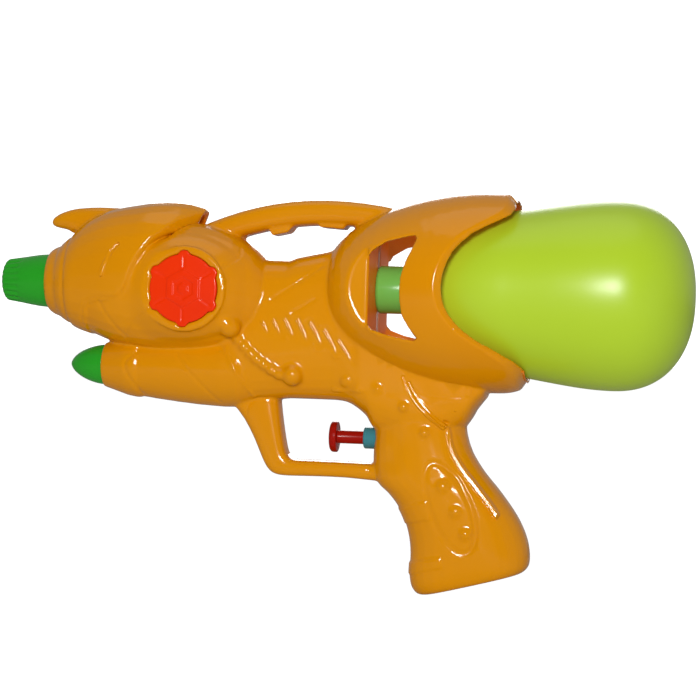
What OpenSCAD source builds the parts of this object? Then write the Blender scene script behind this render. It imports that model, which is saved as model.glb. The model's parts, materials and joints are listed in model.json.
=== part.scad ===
// Water squirter with a screw-in tank, a push-back pump trigger and a twist nozzle.
// Millimetres. Origin at the centre of the nozzle mouth, +X towards the tank, +Z up, -Y the left side.

/* [Shell] */
// Wall of the moulded halves
shell_wall = 2; // [1.6:0.1:2.4]
// Half width of the front pod
pod_half_w = 28.5; // [27:0.5:31]
// How far the hood stands out of the pod
hood_step = 1.8; // [1:0.2:2.6]
// Half width of the middle of the body
frame_half_w = 17.8; // [17:0.1:19]
// Half width of the grip
grip_half_w = 17; // [16.6:0.2:19]
// Half width of the trigger guard
guard_half_w = 7.5; // [6:0.5:10]
// Half width of the carry handle
handle_half_w = 9; // [7:0.5:11]
// Half width of the front fin
fin_half_w = 5; // [3.5:0.5:7]
// Outer radius of the ring around the nozzle
ring_r = 14.2; // [13.8:0.1:15]
// Gap between pieces that turn or slide on each other
run_gap = 0.3; // [0.2:0.05:0.4]
// Gap between pieces that are fixed together
seat_gap = 0.1; // [0.05:0.05:0.2]

/* [Nozzle] */
// Length of the nozzle that shows
nozzle_l = 21; // [19:0.5:23]
// Radius of the nozzle behind its mouth
nozzle_front_r = 9.4; // [8.5:0.1:10]
// Radius of the nozzle at the ring
nozzle_rear_r = 12.4; // [12:0.1:12.8]
// Radius of the water outlet
outlet_r = 2.5; // [2:0.1:3]
// Number of flutes
flutes = 20; // [12:1:28]
// Radius of one flute
flute_r = 0.9; // [0.6:0.1:1.1]
// Radius of the jet tube
jet_r = 3.2; // [2.8:0.1:3.6]
// Height of the lower barrel axis under the nozzle axis
barrel_drop = 38.4; // [36:0.5:40]
// Length of the lower tip
tip_l = 16.8; // [14:0.2:20]
// Radius of the lower tip
tip_r = 9.3; // [8.5:0.1:9.8]

/* [Badge] */
// Place of the badge along the body
badge_x = 93.3; // [90:0.5:96]
// Radius of the badge disc
badge_r = 15.8; // [14:0.2:17]
// Height of the badge points above the disc
badge_point = 1.5; // [0.8:0.1:2]
// Thickness of the badge disc
badge_t = 2.6; // [2:0.1:3]

/* [Tank] */
// Largest radius of the tank
tank_r = 42.7; // [40:0.1:46]
// Radius of the tank inside the shroud
tank_front_r = 36; // [34:0.2:38]
// Wall of the tank
tank_wall = 1.4; // [1:0.1:2]
// Length of the tank behind its neck
tank_l = 130.2; // [120:0.2:140]
// Radius of the tank neck
neck_r = 8.7; // [8:0.1:9.4]
// Length of the tank neck
neck_l = 9.8; // [8:0.1:11]
// Radius of the tank cap
cap_r = 10.9; // [10.6:0.1:12]
// Room between tank and shroud
bay_room = 7.6; // [5:0.2:9]

/* [Pump] */
// Radius of the trigger head
head_r = 7.1; // [6:0.1:8]
// Radius of the trigger rod
rod_r = 3; // [2.6:0.1:3.4]
// How far the trigger is pushed
stroke = 11; // [8:0.5:11.5]
// Radius of the pump bore
bore_r = 5; // [4.8:0.1:5.4]
// Wall of the pump cylinder
pump_wall = 2; // [1.6:0.1:2.2]
// Radius of the gland that shows
gland_r = 4.95; // [4.5:0.05:5.2]
// Radius of the check balls
ball_r = 2; // [1.8:0.1:2.2]
// Wire radius of the return spring
wire_r = 0.4; // [0.3:0.05:0.45]
// Turns of the return spring
coils = 7; // [5:1:8]

/* [Hoses and screws] */
// Outer radius of the hoses
hose_r = 2.5; // [2.3:0.1:2.7]
// Bore radius of the hoses
hose_bore_r = 1.5; // [1.4:0.1:1.6]
// Radius of a screw head
screw_head_r = 2.9; // [2.6:0.1:3.1]
// Radius of a screw shank
screw_r = 1.4; // [1.2:0.1:1.5]

/* [Hidden] */
$fn = 64;

// Along the barrel: ring, nozzle flange, jet tube
ring_reveal = 0.6;
ring_x = nozzle_l + ring_reveal;
ring_depth = 5.3;
flange_x = ring_x + ring_depth;
flange_t = 2;
flange_r = nozzle_rear_r + 2;
stop_x = flange_x + flange_t + run_gap;
stop_t = 4;
jet_flange_x = stop_x + stop_t;
jet_flange_t = 2.4;
jet_flange_r = 8;
jet_barb_x = jet_flange_x + jet_flange_t;
hose_sides = 8;
barb_gap = 0.06;
barb_r = hose_bore_r * cos(180 / hose_sides) - barb_gap;
barb_bore_r = 0.8;
barb_l = 10;
groove_x = 14;
groove_w = 2;
groove_d = 0.8;
groove_room = 0.1;
flute_end_x = 9.5;
outlet_l = 6;

// Bulkhead, cap and tank
bulkhead_x = 174.5;
bulkhead_t = 3.2;
bulkhead_rear = bulkhead_x + bulkhead_t;
cap_x = bulkhead_rear + run_gap;
cap_floor_t = 1.6;
cap_floor_x = cap_x + cap_floor_t;
seal_t = 1.5;
neck_x = cap_floor_x + seal_t + seat_gap;
shoulder_x = neck_x + neck_l;
cap_l = shoulder_x - cap_x - 1;
cap_neck_r = 6;
neck_wall = 1.9;
tank_end_x = shoulder_x + tank_l;
tank_dome_l = 36;
tank_wide_x = tank_end_x - tank_dome_l;
tank_shoulder_l = 31;
tank_front_x = shoulder_x + tank_shoulder_l;
spigot_t = 3;
spigot_x = bulkhead_x - spigot_t;
hose_inset = 0.6;
washer_room = 2.8;

// Shroud around the tank
shroud_x = 156.4;
shroud_front_r = 14.5;
shroud_r = tank_front_r + bay_room + shell_wall;
shroud_wide_x = 226;
shroud_end_x = 247.4;
shroud_lip = 4.2;
land_y = 28.3;

// Lower barrel
tip_x = 33.2;
barrel_x = tip_x + tip_l;
barrel_front_wall = 3;
tip_stem_r = 6.5;

// Pump
pump_z = -67.9;
grip_front_x = 178.6;
gland_flange_x = grip_front_x + shell_wall + seat_gap * 2;
gland_flange_t = 1.8;
pump_x = gland_flange_x + gland_flange_t;
pump_l = 29.4;
pump_r = bore_r + pump_wall;
pump_end_t = 3;
gland_reach = 5.2;
gland_front_x = grip_front_x - gland_reach;
gland_plug_l = 4.4;
head_t = 3.4;
push_room = 1.2;
head_x = gland_front_x - stroke - push_room - head_t;
piston_room = 0.8;
piston_x = pump_x + gland_plug_l + piston_room;
piston_t = 0.9;
piston_groove_w = 2;
piston_l = piston_t * 2 + piston_groove_w;
spring_x = piston_x + piston_l + seat_gap * 2;
spring_end_x = pump_x + pump_l - pump_end_t - seat_gap;
spring_room = 1;
spring_r = bore_r - spring_room - wire_r;
tower_reach = 22.6;
tower_x = pump_x + tower_reach;
tower_r = 4.5;
port_r = 1.3;
chamber_room = 0.7;
chamber_r = ball_r + chamber_room;
seat_t = 1.2;
seat_rise = bore_r + seat_t;
ball_rest = sqrt(ball_r * ball_r - port_r * port_r) + seat_gap;
ball_lift = 1.1;
plug_l = 1.2;
elbow_r = 4;
elbow_h = 8;
elbow_barb_l = 7.6;
up_seat_z = pump_z + seat_rise;
up_top_z = up_seat_z + ball_rest + ball_r + ball_lift + run_gap + plug_l;
up_elbow_z = up_top_z + elbow_h / 2;
down_end_z = pump_z - seat_rise - run_gap - ball_lift - ball_r - ball_rest - plug_l;
down_elbow_z = down_end_z - elbow_h / 2;
cradle_t = 2;
cradle_drop = 9;
cradle_h = 16;
rod_gap = 0.15;
seal_gap = 0.12;

// Badge seat
badge_z = -2.7;
badge_rise = 1.2;
badge_y = pod_half_w + badge_rise;
badge_depth = 2;
badge_floor_y = badge_y - badge_depth;
badge_room = 0.4;
badge_seat_r = badge_r + badge_point + badge_room;
badge_rim = 1.8;
peg_r = 3;
peg_l = 6;

// Screws: where each one goes through both halves
SCREWS = [[58, -14], [76, -42], [112, 12], [138, -8], [146, -41], [222, -92], [222, -118]];
screw_seat_y = 8;
screw_head_t = 2;
screw_l = 17;
boss_r = 3.4;
cup_r = screw_head_r + run_gap;
cup_wall = 1.2;

// A station of a loft: [x, z] on one edge, [x, z] on the other, half width, squareness
function up(x, top, bottom, w, n) = [x, bottom, x, top, w, n];
// The same station made smaller all round by a wall
function thinner(s, wall) =
  let (d = [s[0] - s[2], s[1] - s[3]], u = d / norm(d))
  [s[0] - u[0] * wall, s[1] - u[1] * wall, s[2] + u[0] * wall, s[3] + u[1] * wall, s[4] - wall, s[5]];
function thinner_all(list, wall) = [for (s = list) thinner(s, wall)];
// Half of a rounded section on the left side, from its first edge to its second
function section(s, sides) = [for (i = [0:sides])
  let (a = 90 - 180 * i / sides, e = 2 / s[5],
    up_share = sign(sin(a)) * pow(abs(sin(a)), e),
    out_share = i == 0 || i == sides ? 0 : pow(cos(a), e))
  [(s[0] + s[2]) / 2 + (s[0] - s[2]) / 2 * up_share, -s[4] * out_share,
    (s[1] + s[3]) / 2 + (s[1] - s[3]) / 2 * up_share]];
// A smooth curve through the points of a list
function blend(a, b, c, d, t) =
  0.5 * (2 * b + (c - a) * t + (2 * a - 5 * b + 4 * c - d) * t * t + (3 * b - a - 3 * c + d) * t * t * t);
function smooth(list, steps) = let (last = len(list) - 1) concat([for (i = [0:last - 1], j = [0:steps - 1])
  blend(list[max(i - 1, 0)], list[i], list[i + 1], list[min(i + 2, last)], j / steps)], [list[last]]);
// A curve bowed towards one point
function bow(a, b, c, t) = a * (1 - t) * (1 - t) + b * 2 * t * (1 - t) + c * t * t;
// Rounded rise from [x0, r0] to [x1, r1], level at its end
function rise(x0, r0, x1, r1, n, steps) = [for (i = [0:steps]) let (a = 90 * i / steps)
  [x1 - (x1 - x0) * (i == steps ? 0 : pow(cos(a), 2 / n)), r0 + (r1 - r0) * pow(sin(a), 2 / n)]];
// Rounded close from [x0, r0] to the axis at x1
function close(x0, r0, x1, n, steps) = [for (i = [1:steps]) let (a = 90 * i / steps)
  [x0 + (x1 - x0) * pow(sin(a), 2 / n), i == steps ? 0 : r0 * pow(cos(a), 2 / n)]];

// Left half of a body through a list of stations
module loft(list, sides) {
  count = sides + 1;
  rings = len(list);
  points = [for (s = list) each section(s, sides)];
  walls = [for (j = [0:rings - 2], i = [0:sides]) let (k = (i + 1) % count) each [
    [j * count + i, (j + 1) * count + k, (j + 1) * count + i],
    [j * count + i, j * count + k, (j + 1) * count + k]]];
  ends = [for (i = [1:sides - 1]) each [[0, i + 1, i],
    [(rings - 1) * count, (rings - 1) * count + i, (rings - 1) * count + i + 1]]];
  polyhedron(points, concat(walls, ends));
}

// A profile of [x, r] points turned about the barrel axis, whole and as its left half
module turned(profile) {
  rotate([0, 90, 0]) rotate_extrude() polygon([for (p = profile) [p[1], p[0]]]);
}
module half_turned(profile) {
  rotate([0, 90, 0]) rotate([0, 0, 180]) rotate_extrude(angle = 180) polygon([for (p = profile) [p[1], p[0]]]);
}
// A solid of [x, r] points closed on the axis
function solid(list) = concat([[list[0][0], 0]], list, [[list[len(list) - 1][0], 0]]);
// An outline in the side view, pushed from the middle plane to the left
module side_plate(outline, y0, y1) {
  translate([0, -y0, 0]) rotate([90, 0, 0]) linear_extrude(y1 - y0) polygon(outline);
}
// A ring from x0 to x1 and from r0 to r1
module washer(x0, x1, r0, r1) {
  turned([[x0, r0], [x0, r1], [x1, r1], [x1, r0]]);
}
module rod_x(r, x0, x1) {
  translate([x0, 0, 0]) rotate([0, 90, 0]) cylinder(r = r, h = x1 - x0);
}
// A round bar that runs to the left from y0 to y1
module rod_y(r, y0, y1) {
  translate([0, -y0, 0]) rotate([90, 0, 0]) cylinder(r = r, h = y1 - y0);
}

// Stations of the moulded body
pod_list = [
  up(ring_x, ring_r, -ring_r, ring_r, 2),
  up(ring_x + 2.4, ring_r + 1.6, -ring_r - 1.6, ring_r + 1.6, 2),
  up(ring_x + 5.4, ring_r + 2.6, -ring_r - 2.6, ring_r + 2.6, 2),
  up(31, 18.8, -18.8, 18.8, 2.05),
  up(38, 21.6, -22.2, pod_half_w * 0.74, 2.15),
  up(46, 24, -24.8, pod_half_w * 0.82, 2.25),
  up(56, 26.6, -28.4, pod_half_w * 0.91, 2.4),
  up(70, 28.6, -31, pod_half_w * 0.98, 2.5),
  up(86, 29.2, -32, pod_half_w, 2.5),
  up(100, 27.6, -31.4, pod_half_w * 0.975, 2.5),
  up(112, 23.4, -28.6, pod_half_w * 0.88, 2.45),
  up(122, 16.8, -23.8, pod_half_w * 0.72, 2.35),
  up(129, 9, -17, pod_half_w * 0.49, 2.2),
  up(132.5, 2, -9, pod_half_w * 0.22, 2)];
hood_list = [
  up(ring_x + 5, ring_r + 2.2, -ring_r - 2.2, ring_r + 2.2, 2),
  up(31, 19.9, -18.9, 19.4, 2.1),
  up(36, 24.2, -22, pod_half_w * 0.715 + hood_step, 2.2),
  up(41, 28.6, -23.8, pod_half_w * 0.77 + hood_step, 2.3),
  up(50, 33, -26.3, pod_half_w * 0.86 + hood_step, 2.4),
  up(58, 35, -27.6, pod_half_w * 0.925 + hood_step, 2.5),
  up(66, 36.4, -28, pod_half_w * 0.97 + hood_step, 2.5),
  up(74, 37.6, -28, pod_half_w * 0.99 + hood_step, 2.5),
  up(83, 38, -27.5, pod_half_w * 0.96 + hood_step, 2.3),
  up(90, 37.4, -26.5, pod_half_w * 0.78 + hood_step, 2.1),
  up(97.4, 35, -25, pod_half_w * 0.42 + hood_step, 2)];
hood_edge = [[96.4, 33.6], [91.2, 28.4], [82.3, 22], [74.2, 14.8], [69, 6.4], [66, -1.3], [62.4, -7],
  [56, -8.6], [47, -10.3], [44.8, -15.6], [43.4, -21.5], [44, -28]];
frame_list = [
  up(101, 0, -49, frame_half_w * 0.66, 2.3),
  up(110, 8, -53.2, frame_half_w * 0.9, 2.6),
  up(118, 12, -54, frame_half_w * 0.97, 2.7),
  up(126, 12.6, -52.6, frame_half_w * 0.99, 2.8),
  up(137, 12.4, -51.4, frame_half_w, 2.9),
  up(140.5, 13.9, -51.2, frame_half_w, 2.9),
  up(155, 17, -51.2, frame_half_w, 2.9),
  up(161, 18.2, -51.3, frame_half_w, 2.9),
  up(166, 6, -52.1, frame_half_w, 2.9),
  up(170.8, -14, -54.6, frame_half_w * 0.99, 2.8),
  up(175.5, -22, -58.6, frame_half_w * 0.98, 2.7),
  up(178.8, -26, -64, frame_half_w * 0.975, 2.7),
  up(186, -30, -67, frame_half_w * 0.97, 2.6),
  up(200, -33, -68, frame_half_w * 0.955, 2.6),
  up(212, -35, -66, frame_half_w * 0.93, 2.5),
  up(220.6, -36, -60.4, frame_half_w * 0.9, 2.4),
  up(224.6, -37, -53.6, frame_half_w * 0.85, 2.2),
  up(229.2, -38, -47.6, frame_half_w * 0.76, 2)];
grip_list = [
  [grip_front_x, -58, 219.6, -56, grip_half_w * 0.94, 2.5],
  [grip_front_x, -68, 220.8, -64.5, grip_half_w * 0.95, 2.5],
  [grip_front_x - 0.4, -76, 223.8, -73, grip_half_w * 0.96, 2.5],
  [grip_front_x + 0.8, -86.4, 229.5, -81.5, grip_half_w * 0.98, 2.5],
  [185.2, -92, 235.2, -88, grip_half_w, 2.5],
  [189.8, -97.4, 240.4, -94.5, grip_half_w, 2.5],
  [193.4, -104, 245, -101, grip_half_w, 2.5],
  [195.8, -112, 248.6, -108, grip_half_w, 2.5],
  [196.7, -120, 250.4, -114, grip_half_w, 2.6],
  [196.5, -128, 251, -119.4, grip_half_w, 2.7],
  [197.6, -134.1, 250.4, -123.1, grip_half_w * 0.98, 2.8],
  [200.6, -137.6, 248.2, -125.6, grip_half_w * 0.9, 2.8],
  [204.6, -137.7, 245.6, -126.7, grip_half_w * 0.8, 2.8]];
guard_list = [
  [112, -54.6, 133.6, -49.6, guard_half_w, 3.6],
  [117.4, -61, 134.6, -58, guard_half_w, 3.6],
  [122.4, -69.6, 136, -67, guard_half_w, 3.6],
  [126.4, -78.4, 137.5, -74.2, guard_half_w, 3.6],
  [129.2, -83.3, 138.9, -77.2, guard_half_w, 3.6],
  [132.6, -85.9, 141, -78.7, guard_half_w, 3.6],
  [138.4, -86.6, 144.2, -79, guard_half_w, 3.6],
  [150, -86.4, 150.4, -79, guard_half_w, 3.6],
  [166, -86.4, 166, -79.1, guard_half_w, 3.6],
  [184, -87.6, 184, -79.3, guard_half_w, 3.6]];
handle_list = [for (i = [0:12]) let (t = i / 12,
    top = bow([92, 25.8], [135, 47.8], [188, 36.8], t),
    low = bow([101, 17.4], [135, 32.8], [178, 27.2], t))
  [low[0], low[1], top[0], top[1], handle_half_w, 3]];
handle_teeth = [
  [[125.6, 28], [128.6, 23.4], [135.8, 25], [139.6, 30], [139.6, 33], [125.6, 33]],
  [[149.2, 31], [150.6, 27.8], [161.6, 27], [164, 31], [164, 34], [149.2, 34]]];
fin_list = [
  up(21.7, 28.2, 26.8, fin_half_w * 0.2, 2),
  up(22.6, 29.6, 25.6, fin_half_w * 0.5, 2),
  up(25.5, 31.6, 24.7, fin_half_w * 0.72, 2.2),
  up(30, 33.3, 23.8, fin_half_w * 0.86, 2.4),
  up(35, 34.4, 21, fin_half_w * 0.95, 2.4),
  up(45, 35.1, 20, fin_half_w, 2.4),
  up(58, 34.8, 20, fin_half_w, 2.4)];
barrel_profile = [[barrel_x, tip_r + 1], [barrel_x + 3, tip_r + 1.9], [barrel_x + 7, tip_r + 3.2],
  [barrel_x + 11.7, tip_r + 4.7], [barrel_x + 16.5, tip_r + 5.5], [barrel_x + 17.5, tip_r + 5.4],
  [barrel_x + 18.4, tip_r + 4.9], [barrel_x + 26, tip_r + 5.9], [barrel_x + 36, tip_r + 7],
  [barrel_x + 46, tip_r + 7.9], [barrel_x + 58, tip_r + 8.5], [barrel_x + 66, tip_r + 8.2],
  [barrel_x + 72, tip_r + 6]];
shroud_rise = rise(shroud_x, shroud_front_r, shroud_wide_x, shroud_r, 1.7, 14);
shroud_fall = [for (i = [1:6]) let (t = i / 6)
  [shroud_wide_x + (shroud_end_x - shroud_wide_x) * t, shroud_r - shroud_lip * pow(t, 5)]];
shroud_profile = concat(shroud_rise, shroud_fall);
mouth_edge = concat([[234, shroud_r + 1], [237.8, shroud_r - 0.7], [240.4, shroud_r - 2.8], [241.4, 39]],
  smooth([[240, 35.4], [234.6, 31.8], [224, 25.4], [216.4, 17.2], [212.8, 8], [212, 0], [213.6, -8],
    [218.6, -15.6], [226, -21.8], [235, -27], [243.6, -32.4]], 2),
  [[shroud_end_x, -36], [shroud_end_x, -shroud_r - 1]]);
beyond_mouth = [[shroud_end_x + shroud_lip, -shroud_r - 1], [shroud_end_x + shroud_lip, shroud_r + 1]];
window = [[bulkhead_rear, 13.5], [bulkhead_rear + 2, 17], [186, 20.6], [195.9, 23.2], [194.2, 11], [193.6, 0],
  [194.4, -11], [197.2, -22.8], [188, -21], [bulkhead_rear + 2, -18.6], [bulkhead_rear, -16]];

// Moulded ornament on the side: beads in a row, single studs as [x, side, z, radius], and slanted ribs
bead_r = 2.6;
bead_y = frame_half_w * 0.92;
BEADS = [[116.2, -24.6], [119.3, -27.9], [122.4, -30.9], [125.3, -33.5], [128.6, -35.7], [132.4, -38.1],
  [136, -40]];
stud_r = 5;
button_r = 4;
button_y = grip_half_w * 0.84;
STUDS = [[113.4, pod_half_w * 0.7, -19.2, stud_r], [142, frame_half_w * 0.865, -40.2, stud_r],
  [181.4, frame_half_w * 0.91, -44.9, bead_r], [193.4, frame_half_w * 0.9, -52.9, bead_r],
  [203.2, grip_half_w * 0.88, -64.1, bead_r], [212.2, button_y, -88, button_r],
  [218.4, button_y, -99, button_r], [223, button_y, -108.8, button_r]];
rib_r = 1.2;
rib_y = frame_half_w - 0.5;
RIBS = [[127.5, -16.9, 130.1, -21.7], [132.3, -15.9, 136.4, -22.8], [137.2, -15.3, 142.1, -24],
  [142.5, -15.1, 148.5, -26.1], [147.8, -16, 155, -28.5], [154.1, -18.4, 162.6, -31.5],
  [162.8, -23.9, 169.7, -34.3]];

// Everything that the left half is cut from
module body_form() {
  loft(smooth(pod_list, 2), 14);
  intersection() {
    difference() {
      loft(smooth(hood_list, 2), 14);
      loft(thinner_all(hood_list, shell_wall + hood_step), 14);
    }
    side_plate(concat(smooth(hood_edge, 2), [[16, -28], [16, 44], [96.4, 44]]), -1, pod_half_w * 2);
  }
  loft(smooth(frame_list, 2), 14);
  loft(smooth(grip_list, 2), 14);
  loft(smooth(guard_list, 2), 10);
  loft(handle_list, 10);
  for (outline = handle_teeth) side_plate(outline, 0, handle_half_w * 0.72);
  loft(smooth(fin_list, 2), 8);
  translate([0, 0, -barrel_drop]) half_turned(solid(barrel_profile));
  difference() {
    half_turned(solid(shroud_profile));
    side_plate(concat(mouth_edge, beyond_mouth), -1, shroud_r + 1);
  }
  translate([badge_x, 0, badge_z]) rod_y(badge_seat_r + badge_rim, 0, badge_y);
  for (b = BEADS) translate([b[0], -bead_y, b[1]]) sphere(r = bead_r);
  for (s = STUDS) translate([s[0], -s[1], s[2]]) sphere(r = s[3]);
  for (r = RIBS) translate([r[0], -rib_y, r[1]]) rotate([0, atan2(r[2] - r[0], r[3] - r[1]), 0])
    cylinder(r = rib_r, h = norm([r[2] - r[0], r[3] - r[1]]));
}

// The hollow inside the left half
module body_hollow() {
  difference() {
    loft(thinner_all([for (i = [4:len(pod_list) - 2]) pod_list[i]], shell_wall), 10);
    translate([badge_x, 0, badge_z]) rod_y(badge_seat_r + badge_rim, badge_floor_y - shell_wall, badge_y);
  }
  difference() {
    loft(thinner_all(frame_list, shell_wall), 10);
    half_turned(solid(shroud_profile));
  }
  loft(thinner_all([for (i = [0:len(grip_list) - 4]) grip_list[i]], shell_wall), 10);
  translate([0, 0, -barrel_drop]) half_turned(solid([for (i = [1:len(barrel_profile) - 1])
    [barrel_profile[i][0], barrel_profile[i][1] - shell_wall]]));
  intersection() {
    half_turned(solid(concat([[shroud_x - 2, shroud_front_r - shell_wall - 0.5]],
      [for (p = shroud_rise) if (p[0] < bulkhead_x - 2) [p[0] + 1.5, p[1] - shell_wall]],
      [[bulkhead_x, lookup(bulkhead_x, shroud_profile) - shell_wall]])));
    translate([shroud_x - 4, shell_wall - land_y, -shroud_r]) cube([40, land_y, shroud_r * 2]);
  }
  half_turned(solid(concat([[bulkhead_rear, lookup(bulkhead_rear, shroud_profile) - shell_wall]],
    [for (p = shroud_profile) if (p[0] > bulkhead_rear + 1) [p[0], p[1] - shell_wall]],
    [[shroud_end_x + shroud_lip, shroud_r - shroud_lip - shell_wall]])));
}

// What is left standing in the hollow: screw bosses, and plates that hold the pump
module supports(boss) {
  for (s = SCREWS) translate([s[0], 0, s[1]]) rod_y(boss, 0, pod_half_w);
  for (x = [pump_x + seat_gap, pump_x + pump_l - cradle_t])
    translate([x, -grip_half_w, pump_z - cradle_drop]) cube([cradle_t - seat_gap, grip_half_w, cradle_h]);
}

// The seat of the nozzle, its flange, the jet tube and the hose behind it
hose_room_x = pod_list[4][0] + 1;
nozzle_seat = [[ring_x - 1, 0], [ring_x - 1, nozzle_rear_r + run_gap],
  [flange_x - run_gap, nozzle_rear_r + run_gap], [flange_x - run_gap, flange_r + run_gap],
  [stop_x, flange_r + run_gap], [stop_x, jet_r + seat_gap],
  [jet_flange_x, jet_r + seat_gap], [jet_flange_x, jet_flange_r + seat_gap],
  [jet_barb_x, jet_flange_r + seat_gap], [jet_barb_x, hose_r + run_gap],
  [hose_room_x, hose_r + run_gap], [hose_room_x, 0]];

// One moulded half with its seats, before its screw holes
module half_shell(boss) {
  difference() {
    body_form();
    difference() {
      body_hollow();
      supports(boss);
    }
    turned(nozzle_seat);
    translate([0, 0, -barrel_drop])
      rod_x(tip_stem_r + seat_gap, barrel_x - 1, barrel_x + barrel_front_wall + 1);
    rod_x(cap_neck_r + seat_gap, bulkhead_x - 1, bulkhead_rear + 1);
    translate([0, 0, pump_z]) rod_x(gland_r + seat_gap, gland_front_x - 1, gland_flange_x + 1);
    translate([0, 0, pump_z]) rod_x(pump_r + seat_gap, gland_flange_x, pump_x + pump_l + seat_gap);
    translate([badge_x, 0, badge_z]) {
      rod_y(badge_seat_r, badge_floor_y, badge_y + 9);
      rod_y(peg_r + seat_gap, badge_floor_y - shell_wall - 1, badge_floor_y + 1);
    }
    translate([shroud_x, -shroud_r, -shroud_r])
      cube([bulkhead_rear - shroud_x, shroud_r - land_y, shroud_r * 2]);
    side_plate(window, cap_r + 1, shroud_r + 2);
  }
}

module left_shell() {
  color([0.86, 0.55, 0.02]) difference() {
    half_shell(boss_r);
    for (s = SCREWS) translate([s[0], 0, s[1]]) rod_y(screw_r + seat_gap, -1, screw_l - screw_seat_y + 1);
  }
}

module right_shell() {
  color([0.86, 0.55, 0.02]) mirror([0, 1, 0]) difference() {
    half_shell(cup_r + cup_wall);
    for (s = SCREWS) translate([s[0], 0, s[1]]) {
      rod_y(screw_r + run_gap, -1, screw_seat_y + 1);
      rod_y(cup_r, screw_seat_y, pod_half_w + 9);
    }
  }
}

module nozzle() {
  color([0.17, 0.6, 0.2]) difference() {
    turned([[0, outlet_r], [0, nozzle_front_r - 3], [0.6, nozzle_front_r - 1.2], [2, nozzle_front_r],
      [flute_end_x, nozzle_front_r + 1.1], [nozzle_l, nozzle_rear_r], [flange_x, nozzle_rear_r],
      [flange_x, flange_r], [flange_x + flange_t, flange_r], [flange_x + flange_t, nozzle_rear_r - 2],
      [flute_end_x, nozzle_front_r - 1], [flute_end_x, jet_r + run_gap + 1.9],
      [flange_x + flange_t, jet_r + run_gap + 1.9], [flange_x + flange_t, jet_r + run_gap],
      [outlet_l, jet_r + run_gap], [outlet_l, outlet_r]]);
    for (i = [0:flutes - 1]) rotate([360 * i / flutes, 0, 0])
      translate([0, 0, nozzle_front_r + 1]) rotate([0, 5, 0]) rod_x(flute_r, -1, flute_end_x - 0.6);
  }
}

module jet_tube() {
  front_x = outlet_l + run_gap * 2;
  floor_r = jet_r - groove_d;
  color([0.85, 0.85, 0.82]) turned([[front_x, barb_bore_r], [front_x, jet_r],
    [groove_x, jet_r], [groove_x, floor_r], [groove_x + groove_w, floor_r], [groove_x + groove_w, jet_r],
    [jet_flange_x, jet_r], [jet_flange_x, jet_flange_r], [jet_barb_x, jet_flange_r], [jet_barb_x, barb_r],
    [jet_barb_x + barb_l, barb_r], [jet_barb_x + barb_l, barb_bore_r]]);
}

module nozzle_seal() {
  color([0.12, 0.12, 0.12]) washer(groove_x + groove_room, groove_x + groove_w - groove_room,
    jet_r - groove_d + groove_room, jet_r + groove_room);
}

module lower_tip() {
  stem_x = barrel_x + barrel_front_wall + seat_gap;
  color([0.17, 0.6, 0.2]) translate([0, 0, -barrel_drop]) turned(concat(
    rise(barrel_x - tip_l, 0, barrel_x, tip_r, 1.7, 12),
    [[barrel_x, tip_stem_r], [stem_x, tip_stem_r], [stem_x, tip_stem_r + 1.4], [stem_x + 2, tip_stem_r + 1.4],
      [stem_x + 2, 0]]));
}

module badge() {
  color([0.93, 0.22, 0.05]) translate([badge_x, 0, badge_z]) {
    rod_y(badge_r, badge_floor_y, badge_floor_y + badge_t);
    for (i = [0:5]) rotate([0, 60 * i, 0]) side_plate([[0, badge_r + badge_point], [-4, badge_r - 1.5],
      [4, badge_r - 1.5]], badge_floor_y, badge_floor_y + badge_t);
    for (i = [0:5]) rotate([0, 60 * i, 0]) translate([-0.6, -badge_floor_y - badge_t - 0.6, 3])
      cube([1.2, 1.2, badge_r - 3.4]);
    translate([0, -badge_floor_y, 0]) rotate([90, 30, 0]) {
      difference() {
        cylinder(r = badge_r * 0.62, h = badge_t + 0.7, $fn = 6);
        translate([0, 0, badge_t]) cylinder(r = badge_r * 0.62 - 1.6, h = 2, $fn = 6);
      }
      cylinder(r = badge_r * 0.24, h = badge_t + 1.1, $fn = 6);
    }
    rod_y(peg_r, badge_floor_y - peg_l, badge_floor_y + 1);
  }
}
module left_badge() {
  badge();
}
module right_badge() {
  mirror([0, 1, 0]) badge();
}

// The tank behind its neck, outside or inside its wall
function tank_line(wall) = concat(
  rise(shoulder_x + wall, neck_r + 0.8 - wall, tank_front_x, tank_front_r - wall, 2.2, 12),
  [for (i = [1:8]) let (t = i / 8) [tank_front_x + (tank_wide_x - tank_front_x) * t,
    tank_front_r - wall + (tank_r - tank_front_r) * t * t * (3 - 2 * t)]],
  close(tank_wide_x, tank_r - wall, tank_end_x - wall, 2.3, 14));
module tank() {
  inner = concat([[neck_x, neck_r - neck_wall], [shoulder_x, neck_r - neck_wall]], tank_line(tank_wall));
  color([0.68, 0.81, 0.2, 0.9]) turned(concat([[neck_x, neck_r], [shoulder_x, neck_r]], tank_line(0),
    [for (i = [len(inner) - 1:-1:0]) inner[i]]));
}

module tank_cap() {
  disc_r = cap_neck_r + 2.5;
  color([0.33, 0.65, 0.18]) turned([[spigot_x - barb_l, barb_bore_r], [spigot_x - barb_l, barb_r],
    [spigot_x, barb_r], [spigot_x, disc_r], [bulkhead_x - seat_gap, disc_r],
    [bulkhead_x - seat_gap, cap_neck_r], [bulkhead_rear + seat_gap, cap_neck_r],
    [bulkhead_rear + seat_gap, cap_r - 1], [cap_x + 1, cap_r], [cap_x + cap_l - 0.6, cap_r],
    [cap_x + cap_l, cap_r - 0.6], [cap_x + cap_l, neck_r + run_gap], [cap_floor_x, neck_r + run_gap],
    [cap_floor_x, barb_r], [cap_floor_x + barb_l, barb_r], [cap_floor_x + barb_l, barb_bore_r]]);
}

module neck_seal() {
  color([0.15, 0.15, 0.15]) washer(cap_floor_x + seat_gap / 2, neck_x - seat_gap / 2,
    hose_r + washer_room, neck_r - seat_gap);
}

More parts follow.
